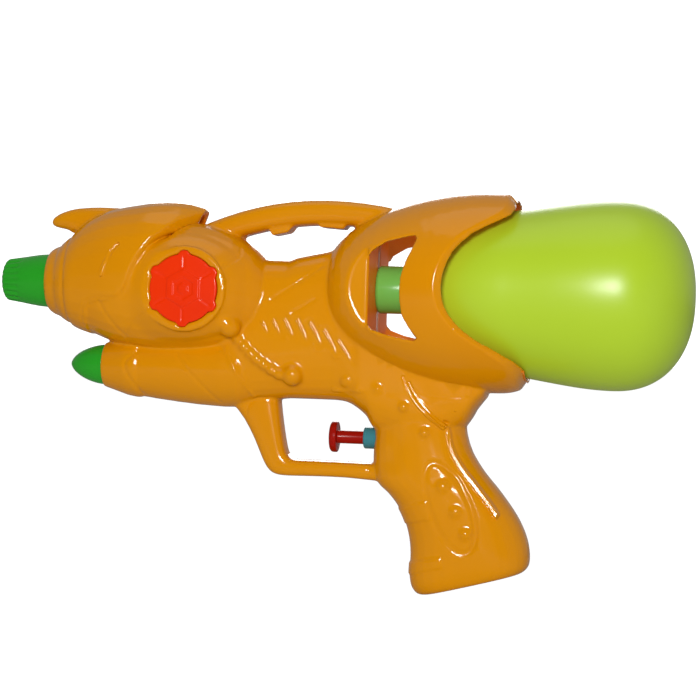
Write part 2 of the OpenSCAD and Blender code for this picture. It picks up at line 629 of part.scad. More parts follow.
// A hose through its points, with a bore
module hose(route) {
  sides = hose_sides;
  last = len(route) - 1;
  function way(i) = let (d = route[min(i + 1, last)] - route[max(i - 1, 0)]) d / norm(d);
  function ring(i, r) = let (t = way(i), c = cross(t, [0, 1, 0]), u = c / norm(c), v = cross(t, u))
    [for (k = [0:sides - 1]) route[i] + r * (u * cos(360 * k / sides) + v * sin(360 * k / sides))];
  points = concat([for (i = [0:last]) each ring(i, hose_r)], [for (i = [0:last]) each ring(i, hose_bore_r)]);
  base = (last + 1) * sides;
  walls = [for (i = [0:last - 1], k = [0:sides - 1])
    let (n = (k + 1) % sides, a = i * sides, b = a + sides) each [
    [a + k, b + n, a + n], [a + k, b + k, b + n],
    [base + a + k, base + a + n, base + b + n], [base + a + k, base + b + n, base + b + k]]];
  ends = [for (k = [0:sides - 1]) let (n = (k + 1) % sides, z = last * sides) each [
    [k, n, base + n], [k, base + n, base + k],
    [z + k, base + z + n, z + n], [z + k, base + z + k, base + z + n]]];
  polyhedron(points, concat(walls, ends));
}

module pickup_tube() {
  start = cap_floor_x + hose_inset;
  color([0.9, 0.92, 0.9]) hose([[start, 0, 0], [start + 5, 0, 0], [start + barb_l + 1, 0, 0], [201, 0, -1.6],
    [212, 0, -6], [226, 0, -13], [242, 0, -21], [258, 0, -28], [272, 0, -33], [284, 0, -36]]);
}

module intake_hose() {
  start = spigot_x - hose_inset;
  elbow = tower_x - elbow_r - hose_inset;
  color([0.9, 0.92, 0.9]) hose([[start, 0, 0], [start - 5, 0, 0], [start - barb_l, 0, 0], [156, 1, -1.2],
    [152, 3, -5.5], [150.4, 5, -12], [152, 7, -20], [157, 8.6, -28], [166, 9.8, -35.4], [176, 10.3, -42.4],
    [184, 10.4, -49], [190, 10.4, -56], [192.4, 10.4, -64], [191.4, 10.3, -73], [189.4, 8.4, down_elbow_z + 6],
    [187.8, 4.6, down_elbow_z + 1.6], [188.6, 1.2, down_elbow_z], [elbow - 9, 0, down_elbow_z],
    [elbow - 4, 0, down_elbow_z], [elbow, 0, down_elbow_z]]);
}

module outlet_hose() {
  start = tower_x - elbow_r - hose_inset;
  finish = jet_barb_x + hose_inset;
  color([0.9, 0.92, 0.9]) hose([[start, 0, up_elbow_z], [start - 5, 0, up_elbow_z],
    [start - barb_l - 1, 0, up_elbow_z], [183, -2, -49], [176, -5, -45.6], [168, -7, -41],
    [158, -8, -35.5], [148, -8, -30], [136, -7.4, -24], [122, -5.4, -17], [108, -3, -10.6],
    [94, -1, -5.6], [80, 0, -2.2], [68, 0, -0.6], [finish + barb_l + 4, 0, 0],
    [finish + barb_l, 0, 0], [finish + 5, 0, 0], [finish, 0, 0]]);
}

module pump_body() {
  color([0.8, 0.8, 0.78]) difference() {
    union() {
      translate([0, 0, pump_z]) rod_x(pump_r, pump_x, pump_x + pump_l);
      translate([tower_x, 0, down_end_z]) cylinder(r = tower_r, h = up_top_z - down_end_z);
    }
    translate([0, 0, pump_z]) rod_x(bore_r, pump_x - 1, pump_x + pump_l - pump_end_t);
    translate([tower_x, 0, down_end_z - 1]) cylinder(r = port_r, h = up_top_z - down_end_z + 2);
    translate([tower_x, 0, up_seat_z]) cylinder(r = chamber_r, h = up_top_z - up_seat_z + 1);
    translate([tower_x, 0, down_end_z - 1]) cylinder(r = chamber_r, h = pump_z - seat_rise - down_end_z + 1);
  }
}

module pump_gland() {
  color([0.25, 0.59, 0.75]) translate([0, 0, pump_z]) turned([[gland_front_x, rod_r + rod_gap],
    [gland_front_x, gland_r - 0.5], [gland_front_x + 0.5, gland_r], [gland_flange_x, gland_r],
    [gland_flange_x, pump_r], [pump_x, pump_r], [pump_x, bore_r - seat_gap],
    [pump_x + gland_plug_l, bore_r - seat_gap], [pump_x + gland_plug_l, rod_r + rod_gap]]);
}

module trigger() {
  groove = piston_x + piston_t;
  color([0.72, 0.11, 0.1]) translate([0, 0, pump_z]) turned([[head_x, 0], [head_x, head_r - 1.2],
    [head_x + 0.5, head_r - 0.4], [head_x + 1.3, head_r], [head_x + head_t - 0.4, head_r],
    [head_x + head_t, head_r - 0.4], [head_x + head_t, rod_r], [piston_x, rod_r], [piston_x, bore_r - run_gap],
    [groove, bore_r - run_gap], [groove, rod_r], [groove + piston_groove_w, rod_r],
    [groove + piston_groove_w, bore_r - run_gap], [piston_x + piston_l, bore_r - run_gap],
    [piston_x + piston_l, 0]]);
}

module piston_seal() {
  color([0.12, 0.12, 0.12]) translate([0, 0, pump_z]) washer(piston_x + piston_t + groove_room,
    piston_x + piston_t + piston_groove_w - groove_room, rod_r + groove_room, bore_r - seal_gap);
}

// The return spring: one wire, eight rings a turn of six sides
spring_steps = coils * 8;
spring_pitch = (spring_end_x - spring_x - wire_r * 2) / coils;
spring_path = [for (i = [0:spring_steps]) [spring_x + wire_r + spring_pitch * i / 8,
  spring_r * cos(45 * i), spring_r * sin(45 * i) + pump_z]];
spring_gap = min([for (i = [0:spring_steps - 5], j = [i + 5:min(i + 12, spring_steps)])
  norm(spring_path[i] - spring_path[j])]) - wire_r * 2;
echo(spring_gap = spring_gap);

module return_spring() {
  sides = 6;
  points = [for (i = [0:spring_steps]) let (out = [0, cos(45 * i), sin(45 * i)]) for (k = [0:sides - 1])
    spring_path[i] + wire_r * (out * cos(60 * k) + [1, 0, 0] * sin(60 * k))];
  walls = [for (i = [0:spring_steps - 1], k = [0:sides - 1])
    let (n = (k + 1) % sides, a = i * sides, b = a + sides)
    each [[a + k, a + n, b + n], [a + k, b + n, b + k]]];
  ends = [for (k = [1:sides - 2]) let (z = spring_steps * sides) each [[0, k + 1, k], [z, z + k, z + k + 1]]];
  color([0.7, 0.7, 0.72]) polyhedron(points, concat(walls, ends));
}

// One elbow on a valve tower: plug, body and a barb that points forwards
module elbow() {
  difference() {
    union() {
      translate([0, 0, -plug_l]) cylinder(r = chamber_r - seat_gap, h = plug_l + 1);
      cylinder(r = elbow_r, h = elbow_h);
      translate([0, 0, elbow_h / 2]) rod_x(barb_r, -elbow_r - elbow_barb_l, 0);
    }
    translate([0, 0, -plug_l - 1]) cylinder(r = port_r, h = plug_l + 1 + elbow_h / 2);
    translate([0, 0, elbow_h / 2]) rod_x(barb_bore_r, -elbow_r - elbow_barb_l - 1, 0);
  }
}
module hose_elbows() {
  color([0.85, 0.85, 0.82]) {
    translate([tower_x, 0, up_top_z]) elbow();
    translate([tower_x, 0, down_end_z]) mirror([0, 0, 1]) elbow();
  }
}

module inlet_ball() {
  color([0.75, 0.75, 0.78]) translate([tower_x, 0, down_end_z + plug_l + ball_rest]) sphere(r = ball_r);
}
module outlet_ball() {
  color([0.75, 0.75, 0.78]) translate([tower_x, 0, up_seat_z + ball_rest]) sphere(r = ball_r);
}

module shell_screws() {
  color([0.6, 0.6, 0.62]) for (s = SCREWS) translate([s[0], screw_seat_y, s[1]]) difference() {
    union() {
      rod_y(screw_r, 0, screw_l);
      rod_y(screw_head_r, -screw_head_t, 0);
    }
    for (turn = [0, 90]) rotate([0, turn, 0]) translate([-1.8, screw_head_t - 1, -0.4]) cube([3.6, 2, 0.8]);
  }
}

left_shell();
right_shell();
nozzle();
jet_tube();
nozzle_seal();
lower_tip();
left_badge();
right_badge();
tank();
tank_cap();
neck_seal();
pickup_tube();
intake_hose();
outlet_hose();
pump_body();
pump_gland();
trigger();
piston_seal();
return_spring();
hose_elbows();
inlet_ball();
outlet_ball();
shell_screws();
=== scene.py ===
# %% [markdown]
# # A toy water squirter, finished for its picture
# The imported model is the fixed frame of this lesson: it gives every piece its place and its size.
# What it lacks is the soft look of moulded plastic, so the pieces that show are made again here,
# each inside the space of its own node, and the hidden ones only get a finish.

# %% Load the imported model
import json
import math

import bmesh
import bpy
import numpy as np
from mathutils import Matrix, Vector
from mathutils.kdtree import KDTree


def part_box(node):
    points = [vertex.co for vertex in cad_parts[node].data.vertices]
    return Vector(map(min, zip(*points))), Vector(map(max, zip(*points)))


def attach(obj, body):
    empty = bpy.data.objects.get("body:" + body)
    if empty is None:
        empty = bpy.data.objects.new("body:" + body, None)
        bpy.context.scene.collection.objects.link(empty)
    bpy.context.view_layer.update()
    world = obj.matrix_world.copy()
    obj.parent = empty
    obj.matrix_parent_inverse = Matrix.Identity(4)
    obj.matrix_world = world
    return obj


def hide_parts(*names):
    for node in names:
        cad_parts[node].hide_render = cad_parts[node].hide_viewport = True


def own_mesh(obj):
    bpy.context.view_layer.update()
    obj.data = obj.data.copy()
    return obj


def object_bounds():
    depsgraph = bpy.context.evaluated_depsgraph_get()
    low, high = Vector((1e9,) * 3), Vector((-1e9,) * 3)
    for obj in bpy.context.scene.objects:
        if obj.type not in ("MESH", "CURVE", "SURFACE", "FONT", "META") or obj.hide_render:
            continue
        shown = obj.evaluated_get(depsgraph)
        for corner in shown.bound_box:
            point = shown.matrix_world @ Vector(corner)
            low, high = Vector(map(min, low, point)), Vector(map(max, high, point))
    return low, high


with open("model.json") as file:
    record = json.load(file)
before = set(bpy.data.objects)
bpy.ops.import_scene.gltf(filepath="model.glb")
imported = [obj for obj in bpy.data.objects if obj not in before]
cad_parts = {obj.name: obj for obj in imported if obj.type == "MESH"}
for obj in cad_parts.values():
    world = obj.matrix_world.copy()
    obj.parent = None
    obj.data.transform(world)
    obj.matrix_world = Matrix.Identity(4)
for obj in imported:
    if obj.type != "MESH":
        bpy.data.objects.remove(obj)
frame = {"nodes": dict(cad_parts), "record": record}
cad_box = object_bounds()
MM = 0.001
print("nodes", len(frame["nodes"]), "box", [round(v, 4) for v in (*cad_box[0], *cad_box[1])])

# %% [markdown]
# ## The camera
# The picture is taken from the left side, ten degrees towards the tank end, and the toy's tail
# hangs a little. A camera's turn can be set with angles or with a tracking constraint. Here its
# three axes are written as a matrix, because the small roll is then plain to see.


# %% Camera
def add(name, data):
    made = bpy.data.objects.new(name, data)
    bpy.context.scene.collection.objects.link(made)
    return made


AIM = Vector((165.4, 0, -28)) * MM
ROUND, ROLL = math.radians(10), math.radians(1.85)
DISTANCE, SENSOR, LENS = 1.0, 36, 112.2
away = Vector((math.sin(ROUND), -math.cos(ROUND), 0))
level = Vector((math.cos(ROUND), math.sin(ROUND), 0))
upright = Vector((0, 0, 1))
to_right = level * math.cos(ROLL) + upright * math.sin(ROLL)
to_top = upright * math.cos(ROLL) - level * math.sin(ROLL)
camera_data = bpy.data.cameras.new("camera")
camera_data.sensor_width = SENSOR
camera_data.lens = LENS
camera = add("camera", camera_data)
turn = Matrix((to_right, to_top, away)).transposed().to_4x4()
camera.matrix_world = Matrix.Translation(AIM + away * DISTANCE) @ turn
bpy.context.scene.camera = camera
print("camera at", [round(v, 3) for v in camera.location])

# %% [markdown]
# ## A small language for finishes
# A finish is a graph of shader nodes. Wiring it by hand takes many lines, so one class wraps a
# socket: sums and products of two sockets add Math nodes, one method adds any node with its
# settings and inputs, and two short ones add the noises and the colour mixes that are used most.


# %% Sockets that can be added and multiplied
class Socket:
    """One output in a finish's graph."""

    def __init__(self, tree, output=None):
        self.tree = tree
        self.output = output

    def node(self, kind, settings=None, inputs=None, out=0):
        """Adds a node: its settings first, then the values or links of its sockets."""
        made = self.tree.nodes.new(kind)
        for name, value in (settings or {}).items():
            setattr(made, name, value)
        for key, value in (inputs or {}).items():
            if isinstance(value, Socket):
                self.tree.links.new(value.output, made.inputs[key])
            else:
                made.inputs[key].default_value = value
        return Socket(self.tree, made.outputs[out] if made.outputs else None)

    def noise(self, place, scale, **more):
        return self.node("ShaderNodeTexNoise", None, {"Vector": place, "Scale": scale, **more})

    def mix(self, share, first, second):
        """The first colour turned into the second by a share. Sockets 6 and 7 take the colours."""
        inputs = {"Factor": share, 6: first, 7: second}
        return self.node("ShaderNodeMix", {"data_type": "RGBA"}, inputs, out=2)

    def math(self, operation, first, second):
        return self.node("ShaderNodeMath", {"operation": operation}, {0: first, 1: second})

    def __add__(self, other):
        return self.math("ADD", self, other)

    def __mul__(self, other):
        return self.math("MULTIPLY", self, other)

    def __pow__(self, other):
        return self.math("POWER", self, other)

    __radd__, __rmul__ = __add__, __mul__


def blank(kind, name):
    """A new material or sky with an empty graph, and its start."""
    made = kind.new(name)
    made.use_nodes = True
    made.node_tree.nodes.clear()
    return made, Socket(made.node_tree)


def linear(red, green, blue):
    """A colour as a paint chart gives it, in 0 to 255, turned into the shader's linear values."""
    def one(v):
        v = v / 255
        return v / 12.92 if v <= 0.04045 else ((v + 0.055) / 1.055) ** 2.4
    return (one(red), one(green), one(blue), 1)


print("paint chart orange", [round(v, 3) for v in linear(222, 144, 0)])

# %% [markdown]
# ## Moulded plastic
# Every outer piece is glossy moulded plastic. The colour of such plastic drifts a little where the
# melt was thicker, its gloss is broken by fine flow marks and handling, and the skin is never quite
# flat. Three noises at three sizes give those: the wide one tints, the middle one dulls, and the
# middle and the fine one bump. The inner side of a moulding is never polished, so the orange plastic
# is duller and redder there. The wall is thin and lets some light through, and a weak glow painted
# on the inner side stands for that light: it is painted light, not a lamp.

# %% Moulded plastic finish
FLOW_SCALE, FLOW_BUMP = 12, 2.0  # in clouds, and in heights of the fine grain
GRAIN_SCALE, BUMP, REFRACTION = 900.0, 0.35, 1.5
# the last two are the colour and strength of the inner side's painted glow
CORE_DULL, CORE_PAINTED_GLOW_COLOUR, CORE_PAINTED_GLOW_STRENGTH = 0.34, linear(205, 92, 6), 0.17
DARK, BRIGHT = (0, 0, 0, 1), (1, 1, 1, 1)


def moulded(name, colour, deep, gloss=0.16, dull=0.08, skin=0.00002, drift=14, shine=0.3, core=None):
    """A plastic whose colour drifts to a deeper one, with gloss from bright to dull and a skin bump
    in metres. Core is the colour of the inner side, which a piece marks with an attribute; that side
    also gets a painted glow."""
    material, start = blank(bpy.data.materials, name)
    place = start.node("ShaderNodeTexCoord", out="Object")
    cloud = start.noise(place, drift, Detail=3.0, Roughness=0.55)
    flow = start.noise(place, drift * FLOW_SCALE, Detail=2.0)
    fine = start.noise(place, GRAIN_SCALE, Detail=2.0)
    bump = {"Height": fine + FLOW_BUMP * flow, "Distance": skin, "Strength": BUMP}
    look = {"Base Color": start.mix(cloud ** 2.0, linear(*colour), linear(*deep)),
            "Roughness": gloss + dull * flow * cloud, "Normal": start.node("ShaderNodeBump", None, bump),
            "IOR": REFRACTION, "Specular IOR Level": shine}
    if core:
        within = start.node("ShaderNodeAttribute", {"attribute_name": "core"}, out="Fac")
        look["Base Color"] = start.mix(within, look["Base Color"], linear(*core))
        look["Roughness"] = look["Roughness"] + CORE_DULL * within
        # painted light: the inner side glows by this emission, standing for light through the thin wall
        look["Emission Color"] = start.mix(within, DARK, CORE_PAINTED_GLOW_COLOUR)
        look["Emission Strength"] = CORE_PAINTED_GLOW_STRENGTH
    shader = start.node("ShaderNodeBsdfPrincipled", None, look)
    start.node("ShaderNodeOutputMaterial", None, {"Surface": shader})
    return material


PLASTICS = {
    # slot: name, colour, deeper colour, what differs from a usual plastic
    "orange_shell": ("orange moulded plastic", (222, 144, 0), (212, 132, 0),
                     dict(gloss=0.115, dull=0.06, shine=0.36, core=(240, 132, 8))),
    "green_nozzle": ("green moulded plastic", (42, 164, 38), (34, 150, 30),
                     dict(gloss=0.22, drift=30, shine=0.25)),
    "green_cap": ("pale green cap plastic", (120, 198, 90), (106, 186, 74), dict(gloss=0.2, drift=40)),
    "lime_tank": ("lime blown plastic", (180, 212, 42), (172, 204, 36),
                  dict(gloss=0.3, skin=0.00004, drift=10, shine=0.5)),
    "red_badge": ("red badge plastic", (240, 52, 2), (230, 42, 0), dict(gloss=0.18, drift=40, shine=0.22)),
    "red_trigger": ("dark red trigger plastic", (162, 20, 8), (148, 14, 6),
                    dict(gloss=0.2, drift=60, shine=0.14)),
    "blue_gland": ("blue gland plastic", (62, 134, 144), (50, 116, 126), dict(gloss=0.25, drift=60)),
    "white_plastic": ("white inner plastic", (224, 224, 218), (210, 210, 200), dict(gloss=0.35, drift=40)),
    "clear_hose": ("milky hose plastic", (226, 230, 222), (208, 214, 204), dict(gloss=0.28, drift=60)),
    "black_rubber": ("black seal rubber", (28, 28, 28), (18, 18, 18), dict(gloss=0.55, dull=0.2, drift=80)),
}
FINISHES = {slot: moulded(name, colour, deep, **more)
            for slot, (name, colour, deep, more) in PLASTICS.items()}
print("plastics", len(FINISHES))

# %% [markdown]
# ## Steel
# The screws, the spring and the valve balls are plain steel. Wire and screws are drawn through
# dies, so the noise is stretched a little, and it changes both the roughness and the tone.

# %% Steel finish
FINISHES["steel"], steel = blank(bpy.data.materials, "drawn steel")
steel_place = steel.node("ShaderNodeTexCoord", out="Object")
drawn = steel.node("ShaderNodeMapping", None, {"Vector": steel_place, "Scale": (1.0, 0.2, 1.0)})
marks = steel.noise(drawn, 1200.0, Detail=3.0)
metal = steel.mix(marks, linear(196, 196, 198), linear(168, 169, 172))
steel_shader = steel.node("ShaderNodeBsdfPrincipled", None, {
    "Base Color": metal, "Metallic": 1.0, "Roughness": 0.22 + 0.2 * marks})
steel.node("ShaderNodeOutputMaterial", None, {"Surface": steel_shader})
print("finishes", len(FINISHES))

# %% [markdown]
# ## From a bmesh to a piece
# Every piece ends the same way: a mesh at the origin with smooth shading and one finish, which the
# slot of the record names. It rides on its body, and the node that it stands for is hidden.


# %% Finish a piece
def piece(name, mesh, body, slot, *nodes):
    mesh.name = name
    mesh.materials.clear()
    mesh.materials.append(FINISHES[slot])
    mesh.shade_smooth()
    made = add(name, mesh)
    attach(made, body)
    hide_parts(*nodes)
    print(name, len(mesh.polygons), "faces for", ", ".join(nodes))
    return made


def to_mesh(bm):
    mesh = bpy.data.meshes.new("made")
    bm.to_mesh(mesh)
    bm.free()
    return mesh


def evaluated(made):
    """An object's mesh with its modifiers, or a curve's with its bevel."""
    graph = bpy.context.evaluated_depsgraph_get()
    return bpy.data.meshes.new_from_object(made.evaluated_get(graph))


# %% [markdown]
# ## The moulded halves
# The two halves are the toy. Their nodes have the right outline, but a lofted solid has flat facets
# and hard creases, and a mould leaves neither: every edge has a small radius and every wall flows.
# Bevels can't do this where six forms run into each other. So the merged node is cut into even
# small quads by a voxel remesh, and each point then moves towards the middle of its neighbours.
# Edges that the mould keeps crisp hold still: the farther a point is from such an edge, the freer
# it moves.

# %% Where the crisp edges are
VOXEL = 0.62 * MM
WELD = 0.5e-6
CRISP, CRISP_STEP = math.radians(32), 0.5 * MM
SEAM, AT_SEAM = 0.05 * MM, 0.2  # where the rim lies, and in millimetres what counts as the rim
BADGE_X, BADGE_Z, BADGE_FLOOR, BADGE_FACE = 93.3, -2.7, 27.7, 30.0
BADGE_RIM, RIM_BAND, SEAT_R, SEAT_TOP = 19.5, 0.7, 17.7, 29.7
SOFT = [(113.4, -19.2, 7.0), (142.0, -40.2, 7.0), (97.0, 33.0, 5.0)]


def soft(point):
    """Whether an edge is wide and round: at the badge's rim, two studs and the hood's tip."""
    x, z = point.x / MM, point.z / MM
    if abs(math.hypot(x - BADGE_X, z - BADGE_Z) - BADGE_RIM) < RIM_BAND:
        return True
    return any(math.hypot(x - a, z - b) < r for a, b, r in SOFT)


def merged(node):
    """A copy of a node's mesh with its loose triangles joined."""
    bm = bmesh.new()
    bm.from_mesh(frame["nodes"][node].data)
    bmesh.ops.remove_doubles(bm, verts=bm.verts, dist=WELD)
    return bm


def crisp_points(bm):
    """Points every half millimetre along the edges that stay crisp, as a tree to look up."""
    found = []
    for edge in bm.edges:
        if len(edge.link_faces) == 2 and edge.calc_face_angle() > CRISP:
            a, b = (v.co for v in edge.verts)
            if max(abs(a.y), abs(b.y)) < AT_SEAM * MM or soft((a + b) / 2):
                continue
            steps = max(1, int((b - a).length / CRISP_STEP))
            found.extend(a.lerp(b, i / steps) for i in range(steps + 1))
    tree = KDTree(len(found))
    for i, point in enumerate(found):
        tree.insert(point, i)
    tree.balance()
    return tree


# %% [markdown]
# The mating faces come off before the smoothing, so that the open rim slides only in the parting
# plane. Each rim point counts its inner neighbours twice, once for the half that lies behind the
# plane, and the two halves still meet exactly.

# %% Even quads, open at the parting plane
CUT = 0.45 * MM


def even_quads(bm, side):
    """The node's form in voxel quads, without the faces in the parting plane."""
    rough = add("rough_half", to_mesh(bm))
    remesh = rough.modifiers.new("even", "REMESH")
    remesh.mode = "VOXEL"
    remesh.voxel_size = VOXEL
    even = evaluated(rough)
    bpy.data.objects.remove(rough)
    bm = bmesh.new()
    bm.from_mesh(even)
    bmesh.ops.bisect_plane(bm, geom=bm.verts[:] + bm.edges[:] + bm.faces[:], dist=1e-7,
                           plane_co=(0, side * CUT, 0), plane_no=(0, -side, 0), clear_outer=True)
    bm.verts.ensure_lookup_table()
    return bm


def neighbours(bm):
    """The rim, and each point's neighbours in one long list, with the start and size of its share."""
    count = len(bm.verts)
    rim = np.zeros(count, bool)
    ends = np.array([(e.verts[0].index, e.verts[1].index) for e in bm.edges])
    open_edge = np.array([len(e.link_faces) == 1 for e in bm.edges])
    rim[ends[open_edge].ravel()] = True
    pairs = np.concatenate([ends, ends[:, ::-1]])
    inward = rim[pairs[:, 0]] & ~rim[pairs[:, 1]]
    pairs = np.concatenate([pairs, pairs[inward]])
    pairs = pairs[np.argsort(pairs[:, 0], kind="stable")]
    share = np.bincount(pairs[:, 0], minlength=count)
    first = np.concatenate([[0], np.cumsum(share)[:-1]])
    return rim, pairs[:, 1], first, share[:, None]


def smoothed(co, links, weight, rounds, pull, push=0.0):
    """Pulls each point towards its neighbours, and pushes it back a little more where the form must
    not shrink. The rim stays in its plane."""
    rim, near, first, share = links
    for _ in range(rounds):
        for step in (pull, push):
            drift = np.add.reduceat(co[near], first, axis=0) / share - co
            drift[rim, 1] = 0
            co = co + drift * (weight * step)
    return co


# %% [markdown]
# ## Ornament on the halves
# The mould also has shallow lines: panel joints on the pod, a moat round the three buttons of the
# grip, a strap down its back and two raised bands where the fingers lie. They are too shallow for
# the solid model. Each is a line through a few points of the side view, rounded by a spline, and
# the skin moves in or out by a profile of the distance from that line.


# %% Distances in the side view
def spline(points, closed=False, steps=8):
    p = np.array(points, float)
    if closed:
        p = np.concatenate([p[-1:], p, p[:2]])
    else:
        p = np.concatenate([2 * p[:1] - p[1:2], p, 2 * p[-1:] - p[-2:-1]])
    line = []
    for a, b, c, d in zip(p, p[1:], p[2:], p[3:]):
        for i in range(steps):
            t = i / steps
            line.append(0.5 * (2 * b + (c - a) * t + (2 * a - 5 * b + 4 * c - d) * t * t
                               + (3 * b - a - 3 * c + d) * t ** 3))
    line.append(p[-2])
    return np.array(line)


def off_line(at, line):
    """How far each point of the side view is from a line, and on which side of it."""
    best, hand = np.full(len(at), 1e9), np.zeros(len(at))
    line = np.array(line)
    for a, b in zip(line, line[1:]):
        along = b - a
        length = max(along @ along, 1e-12)
        t = np.clip((at - a) @ along / length, 0, 1)
        gap = at - a - t[:, None] * along
        d = np.hypot(gap[:, 0], gap[:, 1])
        turn_side = np.sign(along[0] * gap[:, 1] - along[1] * gap[:, 0])
        closer = d < best - 1e-9
        hand[closer] = turn_side[closer]
        best = np.minimum(best, d)
    return best, hand


def inside(at, corners):
    hit = np.zeros(len(at), bool)
    for a, b in zip(corners, np.roll(corners, -1, axis=0)):
        crosses = (a[1] > at[:, 1]) != (b[1] > at[:, 1])
        with np.errstate(divide="ignore", invalid="ignore"):
            x = a[0] + (at[:, 1] - a[1]) / (b[1] - a[1]) * (b[0] - a[0])
        hit ^= crosses & (at[:, 0] < x)
    return hit


# %% Soft steps
def ease(value, low, high):
    """A soft step from nothing at low to one at high."""
    t = np.clip((value - low) / (high - low), 0, 1)
    return t * t * (3 - 2 * t)


def between(value, up, down):
    """One between a soft step up and a soft step down."""
    return ease(value, *up) * (1 - ease(value, *down))


def swell(at, points, width):
    """One on a line of the side view, and soon nothing beside it."""
    d, _ = off_line(at, spline(points))
    return np.exp(-(d / width) ** 2)


# %% Lines of the mould, in millimetres of the side view
LINES = [
    # points, width, height: grooves lie below the skin, ridges above it
    ([(52.5, -9.4), (55.2, -14.3), (59.7, -20.4), (63.8, -25)], 0.7, -0.35),
    ([(76.8, -12.4), (71.7, -15.2), (67.4, -19.2), (64.3, -24.4)], 0.7, -0.35),
    ([(116.4, 16.4), (116.6, 13.1), (113.8, 9.6), (111.6, 7.8)], 0.7, -0.35),
    ([(68.4, -31.5), (66.1, -33.6), (62.8, -36.6), (63.5, -41.3), (67.1, -47), (70, -51.5)], 0.7, -0.4),
    ([(87.7, -32.8), (92.1, -38.2), (98.6, -44.9), (107.3, -53.9)], 0.7, -0.3),
    ([(131.3, -6.4), (138.5, -1.6), (146.5, 4.1), (153.9, 9.9)], 0.7, -0.35),
    ([(141.3, -12), (146.3, -9.1), (151.7, -5.7)], 0.7, -0.3),
    ([(176.9, -79.4), (177.3, -85.8)], 0.5, -0.3),
    ([(119.1, -58.4), (120.4, -54.4), (124, -51.6), (130.6, -51.1)], 0.7, -0.4),
    ([(63.9, -4.3), (61.9, -6.8), (59.2, -7.6), (54.5, -7.7), (49.7, -8.2), (46.1, -9.6),
      (44.2, -12.6), (42.8, -17.5), (42.4, -20.5), (42.3, -22.6)], 0.7, -0.4),
    ([(110.9, -29.3), (113.3, -34.9), (117.9, -42.6), (123.4, -50.7)], 0.8, 0.45),
    ([(178.4, 19.4), (175.8, 16.9), (173.3, 14.1), (170.2, 8.4), (168.6, 2), (168.7, -3.1),
      (170.4, -8.3), (173.8, -14.1), (178.6, -18.4), (184, -21.8)], 0.5, 0.24)]
LANDS = [
    # points, height at the first one, climb along the line, lean across it
    ([(195.5, -42), (198.1, -46.2), (201.6, -51), (205, -54.9), (207.6, -57.4),
      (210.5, -59.6), (212.4, -60.9)], -0.5, 0.065, -0.1),
    ([(193, -39.5), (195, -44.4), (198, -49.2), (201.5, -53.2), (204.8, -56.4),
      (208, -59), (211.2, -61.6)], -0.5, 0.065, -0.1),
    ([(54.4, 2.7), (55.2, 6.4), (56.3, 9.2), (57.5, 11.6), (58.7, 13.5), (60, 15.1),
      (61.3, 16.8)], 1.1, -0.13, 0.26)]
LAND_WIDTH = (0.55, 1.1)
STRAP = [(212, -61.2), (212.7, -63.8), (213.2, -67.8), (214.5, -72), (217.3, -77.1),
         (221.4, -82.6), (224.9, -86.7), (228.4, -90.8), (231.8, -94.9), (235.2, -99.4)]
SCOOP = ([(181, -58.5), (187, -63.5), (189.5, -69.5), (187.5, -77)], 6, -0.8)
print("mould lines", len(LINES), "lands", len(LANDS) + 1)

# %% Fields of the mould
MOAT = [(207.4, -77.4), (212.4, -79), (217.9, -83.7), (222.7, -91.2), (226.3, -100),
        (227.7, -108.5), (226.4, -114.9), (222.4, -117.4), (216.9, -114.7), (211.2, -108.1),
        (206.6, -98.2), (204.4, -87.5), (204.6, -80.2)]
MOAT_DEPTH, MOAT_MORE, MOAT_WIDTH = 0.25, 0.45, (0.5, 1.9)
MOAT_X, MOAT_Z, MOAT_WAY, MOAT_STEP = 216.5, -98, (0.91, 0.42), (-6, 3)  # where it gets deeper
BACKSTRAP = [(192.5, -37), (193.1, -39.6), (194.9, -44.2), (198.4, -50.1), (204.2, -56.3),
             (212.6, -61.2), (213.1, -67.6), (216.1, -75.2), (221.2, -83.2), (229.1, -93.1),
             (234.2, -101.5), (237.5, -109)]
STRAP_FIELD = BACKSTRAP + [(262, -118), (262, -60), (232, -37)]
STRAP_DEPTH, STRAP_STEP, STRAP_END = 0.5, (0.3, 1.6), (5, 13)
BANDS = [[(186, -99.8), (205.4, -94.4), (207.4, -103), (188, -107.4)],
         [(186, -125.2), (212.3, -119.4), (213.3, -124.1), (188, -131.4)]]
BAND_HEIGHT, BAND_STEP = 0.55, (-0.4, 0.9)
print("fields", 2 + len(BANDS))

# %% Ribs, beads, collar and the small stud
RIBS = [[(127.5, -16.9), (130.1, -21.7)], [(132.6, -15.9), (136, -22.3)],
        [(137.9, -15.2), (142.4, -23.6)], [(143.6, -15.3), (148.9, -25.1)],
        [(149.6, -16.5), (155.7, -27.3)], [(156.2, -19.7), (163, -30.9)], [(162.8, -23.9), (169.7, -34.3)]]
RIB_HEIGHT, RIB_WIDTH, RIB_FADE = 0.45, 0.5, (0.3, 1)
BEADS = [(116.2, -24.6), (122.4, -30.9), (128.6, -35.7), (136, -40)]
COLLAR_GROOVE, COLLAR_DEPTH, COLLAR_WIDTH = 33.3, 0.6, 0.9
COLLAR_R, COLLAR_END = 24, 38
SMALL_STUD, STUD_R, STUD_HEIGHT = (166.5, -42.3), 2.6, 0.9
print("ribs", len(RIBS), "beads", len(BEADS))


# %% How high each ornament stands
def land(at, points, height, climb, lean):
    d, hand = off_line(at, spline(points))
    chord = np.array(points[-1]) - points[0]
    along = (at - points[0]) @ chord / np.hypot(*chord)
    return (1 - ease(d, *LAND_WIDTH)) * (height + climb * along + lean * d * hand)


